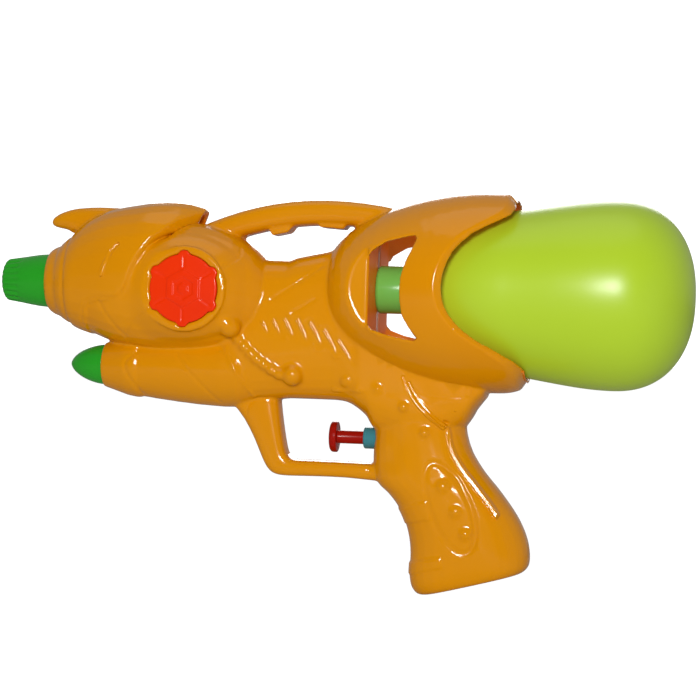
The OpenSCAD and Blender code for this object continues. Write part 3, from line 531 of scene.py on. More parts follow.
def moat(at):
    """The moat's depth, which grows towards the grip's back."""
    d, _ = off_line(at, spline(MOAT, closed=True))
    back = (at[:, 0] - MOAT_X) * MOAT_WAY[0] + (at[:, 1] - MOAT_Z) * MOAT_WAY[1]
    return (MOAT_DEPTH + MOAT_MORE * ease(back, *MOAT_STEP)) * (1 - ease(d, *MOAT_WIDTH))


def within_edge(at, corners, d):
    """The distance from a polygon's edge, below zero outside it."""
    return np.where(inside(at, np.array(corners)), d, -d)


def behind_strap(at):
    """How deep the skin lies behind the upper part of the strap."""
    d = within_edge(at, STRAP_FIELD, off_line(at, spline(BACKSTRAP))[0])
    fade = between(-at[:, 1], (36, 41), (60, 72))
    return STRAP_DEPTH * ease(d, *STRAP_STEP) * fade * (1 - ease(d, *STRAP_END))


def band(at, corners):
    d = within_edge(at, corners, off_line(at, corners + corners[:1])[0])
    return BAND_HEIGHT * ease(d, *BAND_STEP)


def rib(at, top, end):
    d, _ = off_line(at, [top, end])
    down = np.hypot(at[:, 0] - top[0], at[:, 1] - top[1]) / math.dist(top, end)
    return RIB_HEIGHT * np.exp(-(d / RIB_WIDTH) ** 2) * (1 - ease(down, *RIB_FADE))


def stud(at):
    d = np.hypot(at[:, 0] - SMALL_STUD[0], at[:, 1] - SMALL_STUD[1])
    return STUD_HEIGHT * np.sqrt(np.clip(1 - (d / STUD_R) ** 2, 0, 1))



# %% Press the ornament into the skin
def pressed(at, outward):
    """How far the skin moves out, in millimetres, at points of the side view. Outward is how much
    it faces the side."""
    move = np.zeros(len(at))
    face = ease(outward, 0.1, 0.5)
    for points, width, height in LINES:
        move += height * swell(at, points, width) * face
    for line in LANDS:
        move += land(at, *line) * face
    move -= moat(at) * face
    points, width, height = SCOOP
    move += height * swell(at, points, width) * face
    move -= behind_strap(at) * face
    front = (abs(at[:, 1]) < COLLAR_R) & (at[:, 0] < COLLAR_END)
    move -= COLLAR_DEPTH * np.exp(-((at[:, 0] - COLLAR_GROOVE) / COLLAR_WIDTH) ** 2) * front
    for top, end in RIBS:
        move += rib(at, top, end) * face
    move += stud(at) * face
    for corners in BANDS:
        move += band(at, corners)
    return move


# %% [markdown]
# Some places of the skin follow the real toy more closely than the solid does. The badge's seat
# hugs the six blunt points, the window has deep corners at the back, the hood's rear edge is folded
# in, and the studs melt into the wall. The points that are there already slide along the skin:
# nothing is cut, so the mesh stays closed.

# %% The badge's outline and its seat
BADGE_R, POINT, POINT_TURN = 15.6, 1.7, 8.5
SEAT_GAP, SEAT_DROP, SEAT_EDGE = 0.15, 0.05, 0.4
SEAT_REACH, SEAT_DEEP, UNMOVED = 4, 0.8, 0.02
RIM_INNER, RIM_START, RIM_SLOPE, RIM_LIFT, RIM_FADE, RIM_LOW = 18.6, 19.3, 0.3, 2.6, (19.6, 29), 20


def badge_edge(y, z):
    """The badge's radius in the direction of a point: a circle with six blunt bumps."""
    corner = (np.degrees(np.arctan2(y, z)) + 30) % 60 - 30
    return BADGE_R + POINT * np.exp(-(corner / POINT_TURN) ** 4)


def hug_badge(x, y, z):
    """Slides the round seat's wall and floor in, so that the wall stands close to the badge."""
    dx, dz = x - BADGE_X, z - BADGE_Z
    r = np.hypot(dx, dz)
    near = (r < SEAT_R + SEAT_EDGE) & (r > BADGE_R - SEAT_REACH) & (y > BADGE_FLOOR - SEAT_DEEP)
    wall = SEAT_TOP - BADGE_FLOOR
    path = np.where(r > SEAT_R - SEAT_EDGE, np.clip(SEAT_TOP - y, 0, wall), wall + SEAT_R - r)
    lip = SEAT_R - badge_edge(dx, dz) - SEAT_GAP
    on_lip, on_wall = path < lip, path < lip + wall
    new_r = np.where(on_lip, SEAT_R - path, np.where(on_wall, SEAT_R - lip, r))
    new_y = np.where(on_lip, SEAT_TOP - SEAT_DROP, np.where(on_wall, SEAT_TOP - (path - lip), y))
    moved = near & (path > UNMOVED) & on_wall
    r_safe = np.maximum(r, 1e-6)
    return (np.where(moved, BADGE_X + dx * new_r / r_safe, x), np.where(moved, new_y, y),
            np.where(moved, BADGE_Z + dz * new_r / r_safe, z))


def badge_rim(x, y, z):
    """Lifts the pod round the badge's disc a little, so that the disc's step is a soft slope."""
    r = np.hypot(x - BADGE_X, z - BADGE_Z)
    slope = SEAT_TOP - SEAT_DROP - RIM_SLOPE * np.maximum(r - RIM_START, 0)
    lift = np.clip(slope - y, 0, RIM_LIFT) * (1 - ease(r, *RIM_FADE))
    return np.where((r > RIM_INNER) & (r < RIM_FADE[1]) & (y > RIM_LOW), y + lift, y)


# %% The wall behind the pod
WALL, RIB_TOP, RIB_REACH = 17.6, 19.4, 2.6
WALL_X, WALL_Y = [168, 185, 200, 210, 220], [17.4, 17.2, 16.8, 16.5, 16.0]
FILL_X, FILL_Y, FILL_LOW, FILL_HIGH, FILL_SLOPE = 160, 11, -47, -20, 0.06
START_DEEP, END_DEEP = 4, 6


def flat_wall(x, y, z):
    """Takes the ribs off the wall and fills the crease between the wall and the shroud."""
    at = np.c_[x, z]
    close_by = np.zeros(len(x), bool)
    for line in RIBS:
        close_by |= off_line(at, line)[0] < RIB_REACH
    y = np.where(close_by & (y < RIB_TOP), np.minimum(y, WALL), y)
    fill = np.interp(x, WALL_X, WALL_Y) + FILL_SLOPE * (z - FILL_LOW)
    fill = fill - START_DEEP * (1 - ease(x, 165, 173)) - END_DEEP * ease(x, 222, 231)
    filled = (z > FILL_LOW) & (z < FILL_HIGH) & (y > FILL_Y) & (x > FILL_X)
    return np.where(filled, np.maximum(y, fill), y)


# %% The strap's bright land
STRAP_X, STRAP_Z, STRAP_Y = (205, 242), (-104, -57), 5
STRAP_CLIMB, TO_LAMP = 0.038, (0.08, 0.15)  # its rise along the line, its slopes in x and z
MEAN = 13  # points of the line


def strap_land(x, y, z):
    """Turns a narrow land along the grip's strap to the side, which shows as a bright line."""
    line = spline(STRAP)
    in_box = (x > STRAP_X[0]) & (x < STRAP_X[1]) & (z > STRAP_Z[0]) & (z < STRAP_Z[1])
    zone = np.flatnonzero(in_box & (y > STRAP_Y))
    gap = np.hypot(x[zone, None] - line[:, 0], z[zone, None] - line[:, 1])
    line_y, which, d = y[zone][gap.argmin(axis=0)], gap.argmin(axis=1), gap.min(axis=1)
    line_y = np.convolve(np.pad(line_y, MEAN // 2, mode="edge"), np.ones(MEAN) / MEAN, "valid")
    line_y += STRAP_CLIMB * np.cumsum(np.hypot(*np.diff(line, axis=0, prepend=line[:1]).T))
    dx, dz = x[zone] - line[which, 0], z[zone] - line[which, 1]
    way = np.gradient(line, axis=0)[which]
    signed = np.where(way[:, 0] * dz > way[:, 1] * dx, d, -d)
    share = between(signed, (-0.4, 0.2), (1.7, 3.0))
    new = y.copy()
    new[zone] += (line_y[which] - TO_LAMP[0] * dx - TO_LAMP[1] * dz - y[zone]) * share
    return new


# %% Where forms melt into each other
MELTS = [
    # points, reach, share
    ([(113.4, -19.2), (113.5, -19.3)], 8.0, 0.2),
    ([(142.0, -40.2), (142.1, -40.3)], 8.0, 0.25), (BEADS, 4.5, 0.2),
    ([(166, -24), (171.3, -30.8), (174.5, -35.5), (178.5, -40.5)], 8.0, 1.0),
    ([(186, -43), (197, -38.5), (208, -37.5)], 6.0, 0.8)]
MELT_FULL, MELT_Y, RING_Y = 0.45, 9, 19


def melt(x, y, z):
    """How freely each point follows its neighbours in the places that melt."""
    r = np.hypot(x - BADGE_X, z - BADGE_Z)
    share = between(r, (18.4, 19.4), (25, 28)) * (y > RING_Y)
    at = np.c_[x, z]
    for points, reach, most in MELTS:
        d, _ = off_line(at, points)
        melting = most * (1 - ease(d, MELT_FULL * reach, reach)) * (y > MELT_Y)
        share = np.maximum(share, melting)
    return share[:, None]


# %% The shroud's window
SHROUD_X, SHROUD_END, SHROUD_R, SHROUD_POWER = 156.4, 226, 14.5, 1.7
WINDOW_Z = [-29, -25, -21.1, -17.1, -12.9, -6.7, -0.9, 4.6, 11, 16.6, 21.6, 26, 30]
WINDOW_X = [197.4, 197.2, 196.8, 195.9, 194.9, 194.1, 193.7, 193.9, 194.2, 195.0, 195.7, 196.0, 196.0]
WINDOW_BACK = [0, 2.2, 4.2, 1.6, 0, -0.5, -0.35, -0.3, 1.0, 2.8, 4.0, 2.2, 0]
WINDOW_FRONT, PULL_START, PULL_END = 185, 0.5, 14


def shroud_line(x):
    t = np.clip((x - SHROUD_X) / (SHROUD_END - SHROUD_X), 0, 1)
    widest = cad_box[1].y / MM - SHROUD_R
    return SHROUD_R + widest * (1 - (1 - t) ** SHROUD_POWER) ** (1 / SHROUD_POWER)


def back_of_window(x, y, z):
    """Pulls the window's back edge into its corners, along the shroud."""
    edge = np.interp(z, WINDOW_Z, WINDOW_X)
    share = between(x, (WINDOW_FRONT, edge), (edge + PULL_START, edge + PULL_END))
    share = share * ease(y, 12, 20)
    moved = x + np.interp(z, WINDOW_Z, WINDOW_BACK) * share
    grow = 1 + (shroud_line(moved) - shroud_line(x)) / np.maximum(np.hypot(y, z), 1)
    return moved, np.where(share > 0, y * grow, y), np.where(share > 0, z * grow, z)


# %% The shroud's lip
LIP_START, LIP_LEAST, LIP_WALL = 186, 190, 3.6
LIP_ROLL, ROLL_LENGTH, STRETCH = 2.0, 3.6, 6
BIN, TIP_BIN, MODEL_BIN = 2, 81, 76  # degrees of a bin, the seam's tip, and the bins it follows


def roll_lip(x, y, z):
    """Rolls the shroud's rear lip in towards the tank, and makes its tip at the seam as long as the rest."""
    r, turn = np.hypot(y, z), np.degrees(np.arctan2(z, y))
    shroud = (x > LIP_START) & (abs(r - shroud_line(x)) < LIP_WALL)
    count = 180 // BIN
    bins = np.clip(((turn + 90) / BIN).astype(int), 0, count - 1)
    edge = np.zeros(count)
    np.maximum.at(edge, bins[shroud], x[shroud])
    edge = np.convolve(np.pad(edge, 2, mode="edge"), np.array([1, 2, 3, 2, 1]) / 9, "valid")
    whole = edge.copy()
    whole[TIP_BIN:] = np.maximum(edge[TIP_BIN:], edge[MODEL_BIN:TIP_BIN].max())
    middles = np.arange(BIN / 2 - 90, 90, BIN)
    edge, whole = (np.interp(turn, middles, line) for line in (edge, whole))
    lip = shroud * (edge > LIP_LEAST)
    shrink = 1 - LIP_ROLL * ((1 - ease(edge - x, 0, ROLL_LENGTH)) * lip) / np.maximum(r, 1)
    longer = (whole - edge) * (1 - ease(edge - x, 0, STRETCH)) * lip
    return x + longer, y * shrink, z * shrink


# %% The hood's fold and the collar
HOOD_X = [70, 74.2, 78.8, 82.8, 85.7, 88.0, 91.3, 95.5, 100]
HOOD_FOLD = [9.0, 17.4, 22.3, 25.2, 27.7, 29.8, 31.6, 33.9, 34.4]
HOOD_EDGE = [8.4, 14.8, 19.3, 22.4, 24.6, 26.2, 28.6, 32.7, 33.6]
HOOD_DROP = [0, 0, 0, 0.8, 1.6, 2.4, 3.0, 3.0, 3.0]
FOLD_IN, FOLD_MOST, FOLD_BELOW, FOLD_LEAST = 3.6, 1.2, 0.8, 0.2
COLLAR_BACK, COLLAR_SKIN, COLLAR_LOW = 1.0, 18, -22


def fold_hood(x, y, z):
    """Folds the strip over the hood's rear edge inwards and down to the pod."""
    fold, edge = np.interp(x, HOOD_X, HOOD_FOLD), np.interp(x, HOOD_X, HOOD_EDGE)
    strip = np.maximum(fold - edge, 0.01)
    share = np.clip((fold - z) / strip, 0, FOLD_MOST)
    share = share * (z > edge - FOLD_BELOW) * (fold > edge + FOLD_LEAST)
    share = share * ease(x, 72, 84) * ease(y, 2, 7) * (1 - ease(x, 92, 96.5))
    return x, y - FOLD_IN * share, z - np.interp(x, HOOD_X, HOOD_DROP) * share


def open_collar(x, y, z):
    """Draws the collar's front back a little from the nozzle."""
    share = (1 - ease(x, 24.3, 31)) * (np.hypot(y, z) < COLLAR_SKIN) * (z > COLLAR_LOW)
    return x + COLLAR_BACK * share, y, z


# %% [markdown]
# The finest ornament is narrower than two quads, so the quads there are halved once more before
# anything slides, and the thinning at the end leaves them alone.

# %% Where the ornament is fine
FINE = [(line, 1.7) for line in RIBS] + [(line[0], 1.9) for line in LANDS] + [(STRAP, 3.2)]
FINE_Y = 9


def fine_places(x, y, z):
    near = np.zeros(len(x), bool)
    at = np.c_[x, z]
    for points, reach in FINE:
        line = np.array(points)
        around = (at > line.min(axis=0) - reach) & (at < line.max(axis=0) + reach)
        zone = np.flatnonzero((y > FINE_Y) & around.all(axis=1))
        near[zone] |= off_line(at[zone], line)[0] < reach
    return near


def halve_quads(bm, fine):
    """Splits each quad whose corners are all at fine places."""
    split = [e for e in bm.edges if fine[e.verts[0].index] and fine[e.verts[1].index]]
    bmesh.ops.subdivide_edges(bm, edges=split, cuts=1, use_grid_fill=True)
    bm.verts.index_update()


# %% [markdown]
# The steps are put together for one half. First it is merged, remeshed, smoothed and halved at its
# fine places.

# %% Even and smooth
FIRST_ROUNDS, ROUNDS, MELT_ROUNDS = 3, 70, 20
HALFWAY, PULL, PUSH = 0.5, 0.6, -0.61


def spread(bm, co):
    for vert, place in zip(bm.verts, co):
        vert.co = place


def in_mm(co, side):
    """Places along, outward and up, in millimetres."""
    return co[:, 0] / MM, co[:, 1] * side / MM, co[:, 2] / MM


def even_half(node, side):
    bm = merged(node)
    tree = crisp_points(bm)
    bm = even_quads(bm, side)
    links = neighbours(bm)
    co = np.array([v.co for v in bm.verts])
    co[links[0], 1] = side * SEAM
    hold = np.array([tree.find(v)[2] for v in co]) / MM
    free = ease(hold, 0.4, 3.2)[:, None]
    co = smoothed(co, links, np.ones((len(co), 1)), FIRST_ROUNDS, HALFWAY)
    co = smoothed(co, links, free, ROUNDS, PULL, PUSH)
    spread(bm, co)
    halve_quads(bm, fine_places(*in_mm(co, side)))
    return bm


# %% [markdown]
# Then the skin slides into its places, some of them melt, and the ornament is pressed. The thinning
# has to know which points are on the inner side and which are at fine places.

# %% Slide and press
OUTER, SKIN = 0.05, -0.2
LIP_X, LIP_R = 205, 37


def shaped(bm, side):
    links = neighbours(bm)
    rim = links[0]
    co = np.array([v.co for v in bm.verts])
    x, y, z = in_mm(co, side)
    bm.normal_update()
    outer = np.array([v.normal.y for v in bm.verts]) * side > OUTER
    for lift in (badge_rim, flat_wall, strap_land):
        y[outer] = lift(x[outer], y[outer], z[outer])
    for slide in (hug_badge, back_of_window, fold_hood, roll_lip, open_collar):
        x, y, z = slide(x, y, z)
    co = np.c_[x, y * side, z] * MM
    co = smoothed(co, links, melt(x, y, z), MELT_ROUNDS, HALFWAY)
    spread(bm, co)
    bm.normal_update()
    facing = np.array([v.normal for v in bm.verts])
    outward = facing[:, 1] * side
    skin = outward > SKIN
    move = np.zeros(len(co))
    move[skin] = pressed(co[skin][:, [0, 2]] / MM, outward[skin]) * MM
    co = co + facing * move[:, None]
    co[rim, 1] = side * SEAM
    spread(bm, co)
    lip = (x > LIP_X) & (np.hypot(y, z) > LIP_R)
    inner = (outward < 0.0) & ~rim & ~lip
    fine = fine_places(*in_mm(co, side)) & (outward > 0)
    return np.flatnonzero(inner).tolist(), np.flatnonzero(fine).tolist()


# %% [markdown]
# Last, the parting plane is closed and the mesh is thinned out, because a flat wall needs few faces
# and a rounded edge needs many. A point's weight says how easily the thinning takes it. Two marks go
# on the thinned mesh: the sharp edges round the parting face, and the inner side.

# %% Close and thin out
TRIANGLES = 192000
EASY, SELDOM, NEVER = 1.0, 0.25, 0.0


def close_plane(bm, side):
    rim_edges = [e for e in bm.edges if len(e.link_faces) == 1]
    filled = bmesh.ops.triangle_fill(bm, use_beauty=True, use_dissolve=False, edges=rim_edges,
                                     normal=(0, -side, 0))
    bmesh.ops.recalc_face_normals(bm, faces=bm.faces)
    loose = [e for e in bm.edges if len(e.link_faces) != 2]
    print("points", len(bm.verts), "closing faces", len(filled["geom"]), "open edges", len(loose))


def thinned(half, inner, fine):
    group = half.vertex_groups.new(name="inner")
    group.add([v.index for v in half.data.vertices], SELDOM, "REPLACE")
    group.add(inner, EASY, "REPLACE")
    group.add(fine, NEVER, "REPLACE")
    thin = half.modifiers.new("thin", "DECIMATE")
    thin.ratio = min(1.0, TRIANGLES / (2 * len(half.data.polygons)))
    thin.vertex_group = "inner"
    mesh = evaluated(half)
    half.modifiers.remove(thin)
    half.vertex_groups.clear()
    half.data = mesh
    mesh.shade_smooth()
    return mesh


# %% Seam and inner side
SEAM_FACING = -0.9
BULKHEAD, BULKHEAD_NEAR, BULKHEAD_FACING = 177.7, 0.6, 0.7
BULKHEAD_Y, BULKHEAD_Z = 27.6, 30


def read(items, name, width=1, kind=float):
    values = np.empty(len(items) * width, kind)
    items.foreach_get(name, values)
    return values.reshape(-1, width) if width > 1 else values


def sharpen_seam(mesh, side):
    """Marks the parting face's edges as sharp, so that skin and face don't bend each other's light."""
    at, facing = read(mesh.vertices, "co", 3) / MM, read(mesh.polygons, "normal", 3)
    corners, edges = (read(mesh.loops, name, kind=int) for name in ("vertex_index", "edge_index"))
    sizes = read(mesh.polygons, "loop_total", kind=int)
    owner = np.repeat(np.arange(len(sizes)), sizes)
    in_plane = np.bincount(owner, abs(at[corners, 1]) < AT_SEAM) == sizes
    flat = in_plane & (facing[:, 1] * side < SEAM_FACING)
    sharp = np.bincount(edges[flat[owner]], minlength=len(mesh.edges)) == 1
    mesh.attributes.new("sharp_edge", "BOOLEAN", "EDGE").data.foreach_set("value", sharp)
    print("parting faces", int(flat.sum()), "sharp edges", int(sharp.sum()))


def mark_core(mesh, side):
    """Marks the inner side, which is duller and has a painted glow: what faces inwards, and the wall in
    front of the cap, which gets the painted glow as well.
    """
    at = read(mesh.vertices, "co", 3) / MM
    facing = np.array([n.vector for n in mesh.vertex_normals])
    core = 1 - ease(facing[:, 1] * side, -0.35, -0.1)
    wall = (abs(at[:, 0] - BULKHEAD) < BULKHEAD_NEAR) & (facing[:, 0] > BULKHEAD_FACING)
    wall &= (at[:, 1] * side < BULKHEAD_Y) & (abs(at[:, 2]) < BULKHEAD_Z)
    # the wall in front of the cap gets the inner side's painted glow
    core[wall] = 1
    core[abs(at[:, 1]) < AT_SEAM] = 0
    mesh.attributes.new("core", "FLOAT", "POINT").data.foreach_set("value", core)


# %% Both moulded halves
def moulded_half(name, node, side):
    bm = even_half(node, side)
    inner, fine = shaped(bm, side)
    close_plane(bm, side)
    half = piece(name, to_mesh(bm), "body", "orange_shell", node)
    mesh = thinned(half, inner, fine)
    sharpen_seam(mesh, side)
    mark_core(mesh, side)
    print(name, "thinned to", len(mesh.polygons))


moulded_half("left_half", "left_shell", -1)
moulded_half("right_half", "right_shell", 1)

# %% [markdown]
# ## Turned pieces
# The nozzle, the tip, the tank, its cap, the trigger and the gland are all round. A profile drawn
# as a chain of edges and spun about the axis makes each of them; a bevel then breaks the hard
# edges.


# %% Spin a profile
def turned(profile, height=0.0, steps=96, edge=0.3, sharp=28):
    """A bmesh spun from [x, radius] points in millimetres, with its edges rounded."""
    bm = bmesh.new()
    line = [bm.verts.new((x * MM, 0, (height + r) * MM)) for x, r in profile]
    chain = [bm.edges.new(pair) for pair in zip(line, line[1:])]
    if profile[0][1] > 0 and profile[-1][1] > 0:
        chain.append(bm.edges.new((line[-1], line[0])))
    bmesh.ops.spin(bm, geom=line + chain, cent=(0, 0, height * MM), axis=(1, 0, 0),
                   angle=2 * math.pi, steps=steps, use_merge=True)
    bmesh.ops.remove_doubles(bm, verts=bm.verts, dist=WELD)
    bmesh.ops.recalc_face_normals(bm, faces=bm.faces)
    hard = [e for e in bm.edges if len(e.link_faces) == 2 and e.calc_face_angle() > math.radians(sharp)]
    if edge and hard:
        bmesh.ops.bevel(bm, geom=hard, offset=edge * MM, affect="EDGES", segments=3, profile=0.5,
                        material=-1, clamp_overlap=True)
    return bm


def rise(x0, r0, x1, r1, power, steps):
    """A rounded shoulder from one radius to a larger one."""
    return [(x0 + (x1 - x0) * (1 - math.cos(a) ** (2 / power)), r0 + (r1 - r0) * math.sin(a) ** (2 / power))
            for a in (math.pi / 2 * i / steps for i in range(steps + 1))]


def close(x0, r0, x1, power, steps):
    """A rounded end from a radius to the axis."""
    return [(x0 + (x1 - x0) * math.sin(a) ** (2 / power), r0 * max(0.0, math.cos(a)) ** (2 / power))
            for a in (math.pi / 2 * i / steps for i in range(1, steps + 1))]


# %% [markdown]
# ## Nozzle and lower tip
# Both are the same green. The nozzle's front has twenty shallow flutes for the fingers that twist
# it, so the spun form is pressed in by a wave round the axis that dies out where the flutes end.

# %% Nozzle
FLUTES, FLUTE_DEPTH, FLUTE_POWER, FLUTE_FADE, FLUTE_END = 20, 0.6, 1.6, 7.6, 9.5
OUTSIDE_R, OUTSIDE_SLOPE = 7.0, 0.14
nozzle_front = [(0, 2.5), (0, 6.6), (0.25, 7.6), (0.6, 8.4), (1.2, 9.3), (2, 9.75)]
nozzle_side = [(2 + i * 0.75, 9.75 + i * 0.115) for i in range(1, 11)]
nozzle_back = [(13, 11.5), (17, 12.1), (21, 12.4), (27.6, 12.4), (27.6, 14.4), (28.9, 14.4),
               (28.9, 10.4), (9.5, 8.4), (9.5, 5.4), (28.9, 5.4), (28.9, 3.5), (6, 3.5), (6, 2.5)]
bm = turned(nozzle_front + nozzle_side + nozzle_back, steps=240, edge=0.25, sharp=40)
for vert in bm.verts:
    x, r = vert.co.x / MM, math.hypot(vert.co.y, vert.co.z) / MM
    if x < FLUTE_END and r > OUTSIDE_R + x * OUTSIDE_SLOPE:
        wave = 0.5 + 0.5 * math.cos(FLUTES * math.atan2(vert.co.y, vert.co.z))
        depth = FLUTE_DEPTH * wave ** FLUTE_POWER * (1 - ease(x, FLUTE_FADE, FLUTE_END))
        vert.co.y *= 1 - depth / r
        vert.co.z *= 1 - depth / r
piece("fluted_nozzle", to_mesh(bm), "nozzle", "green_nozzle", "nozzle")

# %% Lower tip
TIP_Z = -38.4
tip_profile = rise(33.2, 0, 50, 9.3, 1.7, 28) + [(50, 6.5), (53.1, 6.5), (53.1, 7.9), (55.1, 7.9), (55.1, 0)]
piece("pointed_tip", to_mesh(turned(tip_profile, TIP_Z, 96, 0.2, 40)), "body", "green_nozzle", "lower_tip")

# %% [markdown]
# ## Tank
# The bottle is blown, so its wall has no facets at all and its corners are wide. The same shoulder
# and dome curves as in the solid model are sampled more finely, out along the outside and back
# along the inside.

# %% Tank
NECK_X, SHOULDER_X, FRONT_X, JOIN_X, WIDE_X, TANK_END = 181.2, 191.0, 222.0, 240.0, 285.2, 321.2
NECK_R, NECK_BORE, TANK_WALL, SHOULDER_R = 8.7, 6.8, 1.4, 9.5
RISE_END, RISE_R, FRONT_R, SWELL, TANK_R = 262, 38.35, 36, 6.7, 42.7
SWELL_STEPS = 24


def tank_line(wall):
    front = rise(SHOULDER_X + wall, SHOULDER_R - wall, RISE_END, RISE_R - wall, 2.2, 60)
    begin = (JOIN_X - FRONT_X) / (WIDE_X - FRONT_X)
    swelling = [begin + (1 - begin) * i / SWELL_STEPS for i in range(SWELL_STEPS + 1)]
    return ([at for at in front if at[0] < JOIN_X - 1]
            + [(FRONT_X + (WIDE_X - FRONT_X) * t, FRONT_R - wall + SWELL * t * t * (3 - 2 * t))
               for t in swelling] + close(WIDE_X, TANK_R - wall, TANK_END - wall, 2.3, 48))


tank_inside = [(NECK_X, NECK_BORE), (SHOULDER_X, NECK_BORE)] + tank_line(TANK_WALL)
tank_profile = [(NECK_X, NECK_R), (SHOULDER_X, NECK_R)] + tank_line(0) + tank_inside[::-1]
piece("lime_tank", to_mesh(turned(tank_profile, steps=128, edge=0.25, sharp=50)), "tank", "lime_tank", "tank")

# %% [markdown]
# ## Cap, trigger and gland
# Small round pieces with broken edges: the cap that the bottle screws into, the push button with
# its rod and piston, and the collar that the rod slides in.

# %% Cap, trigger and gland
PUMP_Z = -67.9
cap_profile = [(161.5, 0.8), (161.5, 1.33), (171.5, 1.33), (171.5, 8.5), (174.4, 8.5), (174.4, 6),
               (177.8, 6), (177.8, 9.9), (179, 10.9), (189.4, 10.9), (190, 10.3), (190, 9.0),
               (179.6, 9.0), (179.6, 1.33), (189.6, 1.33), (189.6, 0.8)]
piece("bottle_cap", to_mesh(turned(cap_profile, edge=0.3, sharp=35)), "body", "green_cap", "tank_cap")
trigger_profile = [(157.8, 0), (157.8, 5.9), (158.3, 6.7), (159.1, 7.1), (160.8, 7.1), (161.2, 6.7),
                   (161.2, 3), (187.8, 3), (187.8, 4.7), (188.7, 4.7), (188.7, 3), (190.7, 3),
                   (190.7, 4.7), (191.6, 4.7), (191.6, 0)]
piece("push_trigger", to_mesh(turned(trigger_profile, PUMP_Z, 72, 0.25, 25)), "trigger",
      "red_trigger", "trigger")
gland_profile = [(173.4, 3.15), (173.4, 4.45), (173.9, 4.95), (180.8, 4.95), (180.8, 7), (182.6, 7),
                 (182.6, 4.9), (187, 4.9), (187, 3.15)]
piece("rod_gland", to_mesh(turned(gland_profile, PUMP_Z, 72, 0.2, 30)), "body", "blue_gland", "pump_gland")

# %% [markdown]
# ## Badges
# A red boss sits in a seat on each side: a low dome with six blunt points, a six-sided plate with a
# dish and a stud on it, and fine joints from the plate out to the points. Plates could be stacked
# solids, but moulded steps are soft. So the boss is spun as a fine disc and its skin is raised by
# how far each point is from the edge of a hexagon.

# %% The badge's profile
DOME, DOME_R, RINGS = 0.25, 15.0, 56
PLATES = [(8.7, 0.4, (-0.3, 0.4)), (5.3, -0.3, (-0.3, 0.5)), (2.7, 0.35, (-0.3, 0.5))]
JOINT_DEPTH, JOINT_WIDTH, JOINT_ENDS = 0.22, 0.45, ((9.0, 9.8), (13.0, 14.4))
POINT_START, POINT_FULL, FACE_R = 11, 15.3, 15.2
badge_dome = [(BADGE_FACE + DOME * math.cos(math.pi / 2 * i / RINGS), DOME_R * i / RINGS)
              for i in range(RINGS + 1)]
badge_back = [(BADGE_FACE - 0.12, 15.32), (BADGE_FACE - 0.4, 15.54), (BADGE_FACE - 0.8, BADGE_R),
              (BADGE_FLOOR, BADGE_R), (BADGE_FLOOR, 3), (BADGE_FLOOR - 6, 3), (BADGE_FLOOR - 6, 0)]
print("badge rings", len(badge_dome) + len(badge_back))


# %% Badges
def hexagon(y, z, radius):
    """How deep a point lies inside a hexagon with a point at the top."""
    slant = math.cos(math.pi / 6)
    return radius * slant - max(abs(y), abs(y) * 0.5 + abs(z) * slant)


def badge(name, node, side):
    bm = turned(badge_dome + badge_back, steps=216, edge=0)
    for vert in bm.verts:
        h, y, z = vert.co / MM
        r = math.hypot(y, z)
        corner = (math.degrees(math.atan2(y, z)) + 30) % 60 - 30
        if r > POINT_START and h > BADGE_FLOOR - 0.1:
            wider = badge_edge(y, z) / BADGE_R - 1
            grow = 1 + wider * ease(r, POINT_START, POINT_FULL)
            y, z = y * grow, z * grow
        if h > BADGE_FACE - 0.2 and r < FACE_R:
            for size, height, step in PLATES:
                h += height * ease(hexagon(y, z, size), *step)
            off = abs(r * math.sin(math.radians(corner)))
            joint = math.exp(-(off / JOINT_WIDTH) ** 2) * between(r, *JOINT_ENDS)
            h -= JOINT_DEPTH * joint
        vert.co = Vector((h, y, z)) * MM
    bmesh.ops.rotate(bm, verts=bm.verts, matrix=Matrix.Rotation(side * math.pi / 2, 3, "Z"))
    bmesh.ops.translate(bm, verts=bm.verts, vec=(BADGE_X * MM, 0, BADGE_Z * MM))
    piece(name, to_mesh(bm), "body", "red_badge", node)


badge("left_boss", "left_badge", -1)
badge("right_boss", "right_badge", 1)

# %% [markdown]
# ## Hoses and spring
# Two soft hoses run inside, and a stiffer tube dips into the tank. A curve through the same points
# as the solids, with a round bevel, is the plain way to draw a hose; it is then made a mesh and
# given its wall. The spring is the same with a thin wire.


# %% Draw a hose
def drawn_line(name, points, radius):
    data = bpy.data.curves.new(name, "CURVE")
    data.dimensions = "3D"
    data.bevel_depth = radius * MM
    data.bevel_resolution = 5
    data.resolution_u = 6
    line = data.splines.new("BEZIER")
    line.bezier_points.add(len(points) - 1)
    for knot, point in zip(line.bezier_points, points):
        knot.co = Vector(point) * MM
        knot.handle_left_type = knot.handle_right_type = "AUTO"
    carrier = add(name, data)
    mesh = evaluated(carrier)
    bpy.data.objects.remove(carrier)
    return mesh


HOSE_R, HOSE_WALL = 2.5, 1.0


def hose(name, node, points):
    made = piece(name, drawn_line("route", points, HOSE_R), "body", "clear_hose", node)
    wall = made.modifiers.new("wall", "SOLIDIFY")
    wall.thickness = HOSE_WALL * MM
    wall.offset = -1


